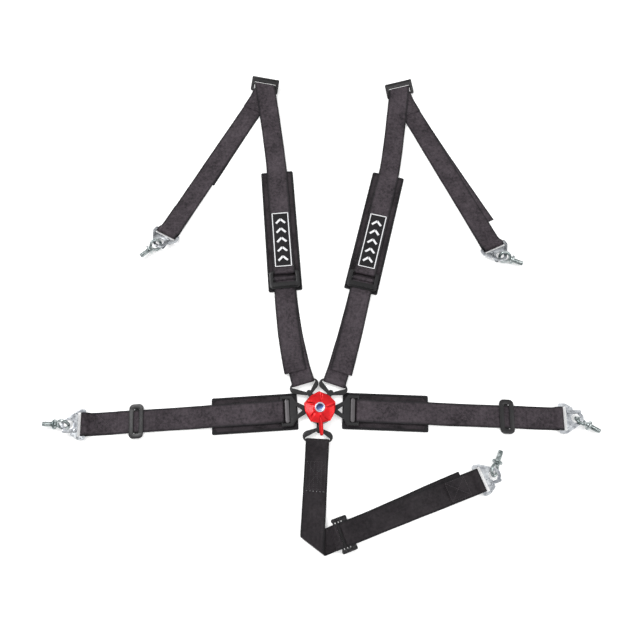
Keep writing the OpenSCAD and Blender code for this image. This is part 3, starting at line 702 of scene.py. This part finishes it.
def red_metal_material():
    """Glossy red anodised knob, with a painted highlight that makes its sharp edges slightly paler, and a few fine
    scratches.
    """
    m = Nodes("red_metal")
    clouds = m.noise(70.0, 4.0)
    # Painted highlight: sharp edges and ridges are mixed towards a pale pinkish red
    colour = m.mix(m.times(m.edges(0.53, 0.62), 0.6), m.mix(clouds, (0.40, 0.001, 0.003), (0.62, 0.002, 0.006)),
                   (0.85, 0.10, 0.11))
    return m.set(colour=colour, metallic=0.55, roughness=m.ramp(clouds, (0.3, 0.24), (0.7, 0.4)), coat=0.2,
                 coat_roughness=0.12, specular=0.25, normal=m.bump(m.noise(800.0), 0.08, 0.0002))


def badge_material(radius):
    """A plain silver disc in a bright ring, with a soft blue shade towards one side."""
    m = Nodes("badge")
    x, y, _ = m.split(m.place())
    r = m.math("POWER", m.plus(m.math("POWER", x, 2.0), m.math("POWER", y, 2.0)), 0.5)
    share = m.math("DIVIDE", r, radius * MM)
    brushed = m.math("SINE", m.times(share, 190.0))
    tilt = m.times(m.plus(y, m.times(x, -0.35)), 70.0)
    shade = m.plus(m.plus(tilt, 0.5), m.times(m.noise(260.0, 2.0), 0.35))
    disc = m.ramp(shade, (0.25, (0.30, 0.34, 0.52)), (0.5, (0.07, 0.12, 0.30)), (0.9, (0.01, 0.02, 0.07)))
    return m.set(colour=m.mix(m.math("GREATER_THAN", share, 0.72), disc, (0.45, 0.45, 0.52)), metallic=0.8,
                 roughness=0.25, coat=0.2, coat_roughness=0.05, normal=m.bump(brushed, 0.08, 0.0002))


def floor_material():
    m = Nodes("floor")
    return m.set(emission_color=(1, 1, 1), emission_strength=0.3,
                 colour=m.mix(m.noise(3.0, 2.0), (0.86, 0.86, 0.86), (0.88, 0.88, 0.88)), roughness=0.85,
                 specular=0.1)


WEBBING = webbing_material("webbing", 1.0)
DARK_WEBBING = webbing_material("webbing_dark", 0.35)
PAD_COVER = pad_material()
TAPE = tape_material()
THREAD = thread_material("black_thread", (0.012, 0.011, 0.012), (0.05, 0.045, 0.05))
PALE_THREAD = thread_material("pale_thread", (0.55, 0.55, 0.56), (0.82, 0.82, 0.84))
GREY_THREAD = thread_material("grey_thread", (0.02, 0.018, 0.02), (0.075, 0.066, 0.072))
BLACK_METAL = black_metal_material()
GREY_METAL = grey_metal_material()
PLATED = plated_material("plated_steel", (0.20, 0.21, 0.23), (0.52, 0.54, 0.56))
BOLT_STEEL = plated_material("bolt_steel", (0.13, 0.16, 0.16), (0.50, 0.54, 0.54))
SPRING = spring_material()
RED_METAL = red_metal_material()
BADGE_R = 11.0
BADGE = badge_material(BADGE_R)


# ---------- The model's own metal parts ----------

def refine(node, material, bevel):
    """Keeps a CAD node's shape, breaks its sharp edges and gives it a finish."""
    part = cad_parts[node]
    part.data.materials.clear()
    part.data.materials.append(material)
    weld = part.modifiers.new("weld", "WELD")
    weld.merge_threshold = 0.01 * MM
    edges = part.modifiers.new("edges", "BEVEL")
    edges.width = bevel * MM
    edges.segments = 3
    edges.limit_method = "ANGLE"
    edges.angle_limit = radians(35)
    edges.harden_normals = True
    for face in part.data.polygons:
        face.use_smooth = True


for side in SIDES:
    for node, bevel in (("shoulder_tongue", 0.6), ("lap_tongue", 0.6), ("shoulder_adjuster", 0.5),
                        ("shoulder_slide", 0.6), ("lap_slide", 0.9), ("shoulder_lock_bar", 0.3)):
        refine(f"{node}_{side}", BLACK_METAL, bevel)
    refine(f"lap_lock_bar_{side}", GREY_METAL, 1.0)
for node, bevel in (("crotch_tongue", 0.6), ("crotch_slide", 0.6), ("buckle_base", 0.5), ("buckle_housing", 0.5)):
    refine(node, BLACK_METAL, bevel)
refine("pin_plate", SPRING, 0.2)
refine("lever_spindle", PLATED, 0.3)
refine("housing_rivets", PLATED, 0.2)

ENDS = ("rear_{}_left", "rear_{}_right", "lap_{}_left", "lap_{}_right", "crotch_{}")
for end in ENDS:
    refine(end.format("hook"), PLATED, 0.5)
    refine(end.format("gate"), PLATED, 0.3)

# ---------- Straps ----------

tracks = {}
for i, side in enumerate(SIDES):
    for name, body, run, node in (("shoulder_lower", "shoulder", shoulder_lower_run, "shoulder_lower_strap"),
                                  ("shoulder", "shoulder", shoulder_run, "shoulder_strap"),
                                  ("rear", "rear", rear_run, "rear_strap"),
                                  ("tail", "rear", tail_run, "shoulder_tail"),
                                  ("lap", "lap", lap_run, "lap_strap")):
        tracks[name, i] = webbing(f"webbing_{name}_{side}", f"{body}_{side}", run(i), WEBBING, f"{node}_{side}")
crotch_upper, crotch_lower = (
    webbing(f"webbing_{name}", name, run(), DARK_WEBBING, f"{name}_strap")
    for name, run in (("crotch_upper", crotch_upper_run), ("crotch_lower", crotch_lower_run)))

# ---------- Grips of the three-bar slides ----------

TOOTH_DEPTH = 0.25
GRIP_HALF = 29


def slide_grip(name, body, centre, z, heading, tilt, near, far):
    """A toothed strip between two bars of a slide, from near to far along its own plane."""
    place = Matrix.Translation((centre.x, centre.y, z)) @ spin("Z", heading) @ spin("Y", -tilt)
    rings = []
    for y in range(-GRIP_HALF, GRIP_HALF + 1):
        tip = near + TOOTH_DEPTH * ((y + GRIP_HALF) % 2)
        section = ((far, -0.9), (far, 0.5), (tip + 0.4, 0.4), (tip, 0.1), (tip, -0.4), (tip + 0.4, -0.8))
        rings.append([place @ Vector((x, y, h)) for x, h in section])
    finish(make(name, *loft(rings), BLACK_METAL, smooth=False), body, "black_metal")


for i, side in enumerate(SIDES):
    slide_grip(f"slide_grip_{side}", f"shoulder_{side}", slide_point(i), CENTRE_BAR_Z, SLIDE_HEADING[i], TOP_TILT,
               4.75, 8.2)
slide_grip("slide_grip_crotch", "crotch_lower", CROTCH_SLIDE_POINT, CROTCH_CENTRE_Z, OUT_HEADING,
           CROTCH_TILT, -10.3, -4.7)

# ---------- Stitching ----------

# The station where a tongue's strap comes out on top, and the sizes of the sewn boxes
TOP_LAYER, BOX_HALF, BOX_LONG, CROTCH_BOX_LONG = 20, 20, 32, 58


def hook_stitches(track):
    """The sewn box of a strap's end, on the layer that comes back over the hook's bar."""
    return box_stitch(track, track.t[-3] + 2, track.length - 3, BOX_HALF, -UP_FACE)


for i, side in enumerate(SIDES):
    low, rear, lap, tail = (tracks[name, i] for name in ("shoulder_lower", "rear", "lap", "tail"))
    start = low.t[TOP_LAYER]
    for name, body, rows in (
            ("shoulder_lower", "shoulder", box_stitch(low, start, start + BOX_LONG, BOX_HALF, UP_FACE)),
            ("rear", "rear", box_stitch(rear, 3, 34, BOX_HALF, -UP_FACE) + hook_stitches(rear)),
            ("tail", "rear", [on_strap(tail, tail.length - back, -22, tail.length - back, 22, UP_FACE)
                              for back in (3, 12)]),
            ("lap", "lap", hook_stitches(lap))):
        sew(f"stitching_{name}_{side}", f"{body}_{side}", rows, GREY_THREAD)
start = crotch_upper.t[TOP_LAYER]
stop = start + CROTCH_BOX_LONG
sew("stitching_crotch_upper", "crotch_upper",
    box_stitch(crotch_upper, start, stop, BOX_HALF, UP_FACE)
    + [on_strap(crotch_upper, start, v, stop, v, UP_FACE) for v in (-12, -4, 4, 12)], GREY_THREAD)
sew("frayed_end_crotch_upper", "crotch_upper",
    [on_strap(crotch_upper, stop + 3, -21, stop + 4, 21, UP_FACE)], PALE_THREAD, 6.5, 2.4, 0.45)
sew("stitching_crotch_lower", "crotch_lower", hook_stitches(crotch_lower), GREY_THREAD)

# ---------- Pads ----------

class Pad:
    """A stuffed cover in its own frame: x along it from its lower end, y across, z up from the ground."""
    CELL = 5.0
    BOTTOM = 0.3
    RIM = 12.0
    SEAM = 3.5
    LONGEST_MOVE = 5.0
    FRAMES = 20

    def __init__(self, kind, side, size, corner, heading, seam):
        self.name = f"{kind}_cover_{side}"
        self.node = f"{kind}_pad_{side}"
        self.body = f"{self.node}_body"
        self.length, self.width = size
        self.place = Matrix.Translation(corner) @ spin("Z", heading)
        self.seam = seam
        self.nx = round(self.length / self.CELL)
        self.ny = round(self.width / self.CELL)
        self.piece = self.stuffed()

    def grid(self):
        """A thin closed cover, before it is filled: top and bottom sheets with a narrow edge between them."""
        points, rest = [], []
        for top in (True, False):
            for i in range(self.nx + 1):
                for j in range(self.ny + 1):
                    x, y = self.length * i / self.nx, self.width * (j / self.ny - 0.5)
                    inset = min(x, self.length - x, self.width / 2 - abs(y))
                    rise = min(1.0, inset / self.RIM)
                    z = 3.9 + 1.1 * rise if top else 2.2 - 1.7 * rise
                    points.append((x, y, z))
                    rest.append((x, y, inset))
        n = self.ny + 1
        sheet = (self.nx + 1) * n
        faces = []
        for i in range(self.nx):
            for j in range(self.ny):
                a = i * n + j
                b = sheet + a
                faces += [(a, a + n, a + n + 1, a + 1), (b, b + 1, b + n + 1, b + n)]
        rim = [i * n for i in range(self.nx)] + [self.nx * n + j for j in range(self.ny)]
        rim += [i * n + self.ny for i in range(self.nx, 0, -1)] + list(range(self.ny, 0, -1))
        for a, b in zip(rim, rim[1:] + rim[:1]):
            faces.append((a, sheet + a, sheet + b, b))
        return points, faces, rest

    def from_seam(self, y):
        return abs(abs(y) - self.seam)

    def stuffed(self):
        points, faces, rest = self.grid()
        piece = make(self.name, points, faces, PAD_COVER)
        self.inflate(piece, rest)
        for vertex, start, (x, y, inset) in zip(piece.data.vertices, map(Vector, points), rest):
            moved = vertex.co / MM - start
            if moved.length > self.LONGEST_MOVE:
                moved *= self.LONGEST_MOVE / moved.length
            p = start + moved
            pinch = max(0.0, 1 - self.from_seam(y) / self.SEAM)
            ceiling = PAD_T + 0.05 + 2.4 * min(1.0, max(0.0, abs(y) - 25.5) / 4.0)
            ripple = 0.25 * sin(x / 9.0 + 2.0 * sin(x / 31.0)) * min(1.0, inset / 6.0)
            if start.z > 3:
                p.z = min(p.z + ripple * (abs(y) > 26), ceiling) - 0.7 * pinch * (inset > 1)
            p.z = max(p.z, self.BOTTOM)
            vertex.co = p * MM
        piece.data.transform(Matrix.Scale(MM, 4) @ self.place @ Matrix.Scale(1 / MM, 4))
        store(piece, "rest", rest)
        smooth = piece.modifiers.new("smooth", "SUBSURF")
        smooth.levels = smooth.render_levels = 1
        settle(piece)
        finish(piece, self.body, "pad_fabric", self.node)
        return piece

    def inflate(self, piece, rest):
        """Fills the cover by cloth simulation: its edge and its seams stay where they are, the rest swells."""
        held = [k for k, (_, y, inset) in enumerate(rest) if inset < 0.1 or self.from_seam(y) < self.CELL * 0.5]
        piece.vertex_groups.new(name="held").add(held, 1.0, "REPLACE")
        modifier = piece.modifiers.new("cloth", "CLOTH")
        cloth = modifier.settings
        cloth.quality = 5
        cloth.mass = 0.3
        cloth.tension_stiffness = cloth.compression_stiffness = cloth.shear_stiffness = 15
        cloth.bending_stiffness = 0.5
        cloth.use_pressure = True
        cloth.uniform_pressure_force = 4.0
        cloth.effector_weights.gravity = 0
        cloth.vertex_group_mass = "held"
        modifier.collision_settings.use_collision = False
        modifier.point_cache.frame_start, modifier.point_cache.frame_end = 1, self.FRAMES
        for number in range(1, self.FRAMES + 1):
            scene.frame_set(number)
        settle(piece)
        scene.frame_set(1)

    def surface(self, x, y, up=0.1):
        """A point on the cover's top, and the normal there, in millimetres."""
        start = self.place @ Vector((x, y, 30)) * MM
        hit, at, normal, _ = self.piece.ray_cast(start, Vector((0, 0, -1)))
        return (at / MM + normal * up, normal) if hit else (self.place @ Vector((x, y, PAD_T)), Vector((0, 0, 1)))

    def row(self, x0, y0, x1, y1):
        return (lambda t: self.surface(x0 + (x1 - x0) * t, y0 + (y1 - y0) * t)), hypot(x1 - x0, y1 - y0)

    def bind(self, wide):
        """Binding tape folded over the cover's edge, and the stitching that holds it and the seams."""
        tape = link(self.piece.copy())
        tape.data = self.piece.data.copy()
        tape.name = tape.data.name = self.name.replace("cover", "binding")
        for key in list(tape.keys()):
            del tape[key]
        tape.parent = None
        tape.data.materials[0] = TAPE
        inset = [v.vector[2] for v in tape.data.attributes["rest"].data]
        mesh = bmesh.new()
        mesh.from_mesh(tape.data)
        mesh.verts.ensure_lookup_table()
        inner = [f for f in mesh.faces if sum(inset[v.index] for v in f.verts) / len(f.verts) > wide]
        bmesh.ops.delete(mesh, geom=inner, context="FACES")
        for vertex in mesh.verts:
            vertex.co += vertex.normal * 0.25 * MM
        mesh.to_mesh(tape.data)
        mesh.free()
        shell = tape.modifiers.new("thickness", "SOLIDIFY")
        shell.thickness = 0.6 * MM
        shell.offset = 0
        settle(tape)
        finish(tape, self.body, "pad_fabric")
        x0 = wide - 1.6
        x1, edge_y = self.length - x0, self.width / 2 - x0
        rows = [self.row(x0, y, x1, y) for y in (-edge_y, edge_y)]
        rows += [self.row(x, -edge_y, x, edge_y) for x in (x0, x1)]
        rows += [self.row(wide + 2, y, self.length - wide - 2, y) for y in (-self.seam, self.seam)]
        sew(self.name.replace("cover", "stitching"), self.body, rows, THREAD, 3.6, 2.8, 0.7)


for i, side in enumerate(SIDES):
    lower_end = lock_point(i) - PAD_OVERHANG * direction(PAD_HEADING[i])
    Pad("shoulder", side, SHOULDER_PAD, lower_end, PAD_HEADING[i], 28.0).bind(5.5)
    Pad("lap", side, LAP_PAD, LAP_PAD_AT * direction(LAP_HEADING[i]), LAP_HEADING[i], 28.5).bind(6.0)

# ---------- Labels: a plain bordered patch of chevrons on each shoulder strap ----------

LABEL_FROM, LABEL_TO, LABEL_HALF, LABEL_T = 29.0, 176.0, 21.0, 0.7
LABEL_BACK = HALF_T + 0.02
# From the patch's edge to the middle of its border, along and across, and the border's width
BORDER_U, BORDER_V, BORDER_W = 2.4, 2.2, 2.3
CHEVRONS, CHEVRON_W, CHEVRON_RISE, CHEVRON_HALF = 5, 5.0, 5.5, 11
# Outlines, as (across, height) in shares of a width and a thickness
STROKE = [(-0.5, 0.0), (-0.5, 0.6), (-0.38, 1.0), (0.38, 1.0), (0.5, 0.6), (0.5, 0.0)]


def stroke(track, u0, v0, u1, v1, wide=BORDER_W):
    """A flat raised bar on a patch, from (u0, v0) to (u1, v1)."""
    length = hypot(u1 - u0, v1 - v0)
    n = max(2, ceil(length / 3))
    across = ((v0 - v1) / length, (u1 - u0) / length)
    rings = []
    for k in range(n + 1):
        u, v = u0 + (u1 - u0) * k / n, v0 + (v1 - v0) * k / n
        rings.append([track.at(u + x * wide * across[0], v + x * wide * across[1],
                               LABEL_BACK + LABEL_T - 0.1 + z * 0.5)[0] for x, z in STROKE])
    return loft(rings)


for i, side in enumerate(SIDES):
    top = ON_PAD_Z + LAYER
    track = Track(placed(straight([(LABEL_FROM, 12.1), (36, 10.05), (46, top), (64, top), (74, ON_PAD_Z),
                                   (120, ON_PAD_Z), (LABEL_TO, ON_PAD_Z)]), lock_point(i), PAD_HEADING[i]))
    half = [(LABEL_HALF, 0), (LABEL_HALF, LABEL_T * 0.7), (LABEL_HALF - 0.5, LABEL_T), (10, LABEL_T)]
    outline = half + [(0, LABEL_T)] + [(-v, z) for v, z in reversed(half)] + [(0, 0)]
    rings = [[track.at(u, v, LABEL_BACK + z)[0] for v, z in outline] for u in track.steps()]
    finish(make(f"label_{side}", *loft(rings), TAPE), f"shoulder_{side}", "webbing")
    u0, u1, edge = BORDER_U, track.length - BORDER_U, LABEL_HALF - BORDER_V
    bars = [stroke(track, u0 - BORDER_W / 2, v, u1 + BORDER_W / 2, v) for v in (-edge, edge)]
    bars += [stroke(track, u, -edge, u, edge) for u in (u0, u1)]
    for k in range(CHEVRONS):
        middle = 24 + k * (track.length - 48) / (CHEVRONS - 1)
        bars += [stroke(track, middle - CHEVRON_RISE, v, middle + CHEVRON_RISE, 0, CHEVRON_W)
                 for v in (-CHEVRON_HALF, CHEVRON_HALF)]
    finish(make(f"label_stitching_{side}", *merged(bars), PALE_THREAD), f"shoulder_{side}", "webbing")

# ---------- Buckle knob, badge and springs ----------

KNOB_R, KNOB_VALLEY, KNOB_Z, KNOB_TOP = 36.0, 32.6, 23.0, 31.0
KNOB_CORNER, POINTER_HEADING = 93, 273.5


def coil(name, node, radius, wire, bottom, top, turns):
    per_turn = 40
    steps = int(turns * per_turn)
    rings = []
    for k in range(steps + 1):
        out = direction(360 * k / per_turn)
        height = bottom + wire + (top - bottom - 2 * wire) * k / steps
        rings.append([out * (radius + x) + Vector((0, 0, height + z)) for x, z in circle(8, wire)])
    piece = make(name, *loft(rings), SPRING)
    finish(piece, "buckle", "spring_steel", node)
    return piece


def knob_outline(a):
    """Radius of the five-cornered outline in direction a: nearly straight sides with rounded corners."""
    share = abs(((a - KNOB_CORNER) % 72) - 36) / 36
    return KNOB_VALLEY + (KNOB_R - KNOB_VALLEY) * share ** 3.4


def knob_height(a, share):
    """Height of the knob's face: a low dome in five twisted facets that meet in ridges."""
    facet = (a - KNOB_CORNER + (1 - share) * 26) % 72 / 72
    saw = facet / 0.86 if facet < 0.86 else (1 - facet) / 0.14
    fade = min(1.0, max(0.0, (share - 0.36) / 0.12)) * (1.0 if share < 0.93 else (1 - share) / 0.07)
    return min(KNOB_Z + 3.2 + 4.2 * (1 - share ** 2.2) + 3.0 * (saw - 0.5) * fade, KNOB_TOP - 0.1)


def knob():
    n, inner = 180, 11.3 / KNOB_R + 0.02
    turns = [360 * k / n for k in range(n)]

    def ring(share, height):
        edge = [direction(a) * (knob_outline(a) * share) for a in turns]
        return [(p.x, p.y, height(a)) for p, a in zip(edge, turns)]

    rings = [[(x, y, KNOB_TOP - down) for x, y in circle(n, 11.25)] for down in (1.1, 0.15)]
    for step in range(23):
        share = inner + (1 - inner) * step / 22
        rings.append(ring(share, lambda a: knob_height(a, share)))
    for share, up in ((1.0, 1.2), (0.985, 0.4), (0.96, 0.05), (0.34, 0.05)):
        rings.append(ring(share, lambda a: KNOB_Z + up))
    rings.append([(x, y, KNOB_Z + 3.2) for x, y in circle(n, 4.1)])
    finish(make("knob", *loft(rings), RED_METAL), "lever", "red_metal", "buckle_lever")


def pointer():
    """The knob's pointer: a tapered bar with a ridge along its back, from (radius, half width, height)."""
    half = [(-1, 0.0), (-1, 0.25), (-0.8, 2 / 3), (-0.25, 0.95)]
    section = half + [(0, 1.0)] + [(-x, h) for x, h in reversed(half)]
    foot = KNOB_Z + 0.3
    bars = [[turned(r, wide * x, POINTER_HEADING) + Vector((0, 0, foot + (z - foot) * h)) for x, h in section]
            for r, wide, z in ((18, 5.4, 30.2), (26, 5.2, 29.8), (34, 4.8, 28.6), (42, 4.5, 27.3), (50, 4.3, 26.4),
                               (56, 3.9, 25.8), (58.8, 2.9, 25.2), (59.8, 1.4, 24.6))]
    finish(make("pointer", *loft(bars), RED_METAL), "lever", "red_metal")


knob()
pointer()
# The badge's profile: how far in from its rim, and how far above the knob's top
badge_rings = [[(x, y, KNOB_TOP + up) for x, y in circle(72, max(BADGE_R - inward, 0.01))]
               for inward, up in ((BADGE_R, -1.05), (0, -1.05), (0, 0.2), (0.3, 0.6), (0.9, 0.75), (2.2, 0.7),
                                  (2.8, 0.35), (3.2, 0.1), (7, 0.3), (BADGE_R, 0.4))]
finish(make("badge", *loft(badge_rings), BADGE), "lever", "badge", "buckle_badge")
pin_coil = coil("pin_spring_coil", "pin_spring", 14.2, 0.65, 15.1, 19.7, 3.0)
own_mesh(pin_coil)
coil("lever_spring_coil", "lever_spring", 8.2, 0.4, 22.3, 25.6, 4.0)

# ---------- Eye bolts ----------

HOOK_TILT = 13
EYE_AT = 31.0
RING_R, RING_WIRE, RING_ROLL, RING_PITCH = 12.0, 3.4, 30, -15
SHANK_R, SHANK_L, THREAD_PITCH = 5.556, 24.0, 1.27
EYE_SWING = (-23, 48, -6, -28, 47)


def end_place(k):
    """Where each hook's webbing bar is, and the way it points."""
    if k < 2:
        return near_bar_point(k) + REAR_LENGTH[k] * direction(REAR_HEADING[k]), REAR_HEADING[k]
    if k < 4:
        return LAP_LENGTH[k - 2] * direction(LAP_HEADING[k - 2]), LAP_HEADING[k - 2]
    return CROTCH_SLIDE_POINT + CROTCH_LENGTH * direction(OUT_HEADING), OUT_HEADING


def ring_frame(k):
    """The frame of an eye bolt's ring: its middle, with +X along the shank."""
    point, heading = end_place(k)
    hook = Matrix.Translation((point.x, point.y, HOOK_BAR_Z)) @ spin("Z", heading) @ spin("Y", -HOOK_TILT)
    roll = -RING_ROLL if EYE_SWING[k] > 0 else RING_ROLL
    swing = Matrix.Translation((EYE_AT, 0, 0)) @ spin("Z", EYE_SWING[k]) @ spin("Y", -RING_PITCH)
    return hook @ swing @ spin("X", roll) @ Matrix.Translation((RING_R, 0, 0))


# The shank's foot and collar: radius, and distance beyond the ring's middle line
SHANK_PROFILE = ((6.0, 1.0), (6.6, 2.2), (7.0, 4.2), (8.2, 4.9), (10.4, 5.0), (10.9, 5.5), (11.0, 6.4),
                 (10.9, 7.9), (10.4, 8.5), (6.2, 8.55), (5.0, 8.8))
THREAD_DEPTH, THREAD_STEPS, THREAD_SIDES = 0.684, 5, 32


def eye_bolt(k):
    ring = []
    for x, z in circle(56):
        out = Vector((x, 0, z))
        ring.append([out * (RING_R + a) + Vector((0, b, 0)) for a, b in circle(18, RING_WIRE)])
    shank = [[(RING_R + x, y, z) for y, z in circle(THREAD_SIDES, r)] for r, x in SHANK_PROFILE]
    start, stop = RING_R + 9.2, RING_R + 8.5 + SHANK_L
    steps = round((stop - start) / THREAD_PITCH * THREAD_STEPS)
    for step in range(steps + 1):
        x = start + (stop - start) * step / steps
        taper = 0.8 * max(0.0, (x - stop + 1.2) / 1.2)
        section = []
        for c, (y, z) in enumerate(circle(THREAD_SIDES)):
            turn = (x / THREAD_PITCH - c / THREAD_SIDES) % 1.0
            r = SHANK_R - THREAD_DEPTH * (1 - abs(2 * turn - 1)) - taper
            section.append((x, r * y, r * z))
        shank.append(section)
    points, faces = merged([loft(ring, loop=True), loft(shank)])
    place = ring_frame(k)
    node = ENDS[k].format("eye_bolt")
    piece = make(ENDS[k].format("threaded_eye"), [place @ Vector(p) for p in points], faces, BOLT_STEEL)
    finish(piece, node + "_body", "plated_steel", node)


for k in range(len(ENDS)):
    eye_bolt(k)

# ---------- Floor, light and camera ----------

bpy.ops.mesh.primitive_plane_add(size=20, location=(0, 0, -0.0002))
floor = bpy.context.object
floor.name = "floor"
floor.data.materials.append(floor_material())

world = bpy.data.worlds.new("studio")
scene.world = world
world.use_nodes = True
sky = world.node_tree
height = sky.nodes.new("ShaderNodeSeparateXYZ")
glow = sky.nodes.new("ShaderNodeValToRGB")
background = sky.nodes["Background"].inputs
sky.links.new(sky.nodes.new("ShaderNodeTexCoord").outputs["Generated"], height.inputs[0])
sky.links.new(height.outputs["Z"], glow.inputs[0])
sky.links.new(glow.outputs[0], background["Color"])
background["Strength"].default_value = 1.3
# A pale backdrop near the horizon, a dark band above it for the metal to mirror, and a bright ceiling
bands = glow.color_ramp.elements
bands.new(0.3)
bands.new(0.4)
for band, (at, grey) in zip(bands, ((0.0, 0.8), (0.24, 0.8), (0.36, 0.05), (0.85, 1.0))):
    band.position, band.color = at, (grey, grey, grey, 1)


def aim(thing, place, target):
    thing.location = place
    thing.rotation_mode = "QUATERNION"
    thing.rotation_quaternion = (Vector(target) - Vector(place)).to_track_quat("-Z", "Y")


for name, place, size, watts in (("key", (-1.2, 1.0, 2.2), 1.2, 34), ("fill", (1.6, -0.4, 2.0), 1.6, 16)):
    light = bpy.data.lights.new(name, "AREA")
    light.shape = "DISK"
    light.size = size
    light.energy = watts
    aim(link(bpy.data.objects.new(name, light)), place, (0, 0.1, 0))

camera_data = bpy.data.cameras.new("camera")
camera_data.sensor_width = 36
camera_data.lens = 37.2
camera_data.clip_start = 0.05
camera = link(bpy.data.objects.new("camera", camera_data))
aim(camera, (0, -0.3007, 1.4265), (0, 0.2185, 0))
scene.camera = camera
scene.view_settings.view_transform = "Standard"
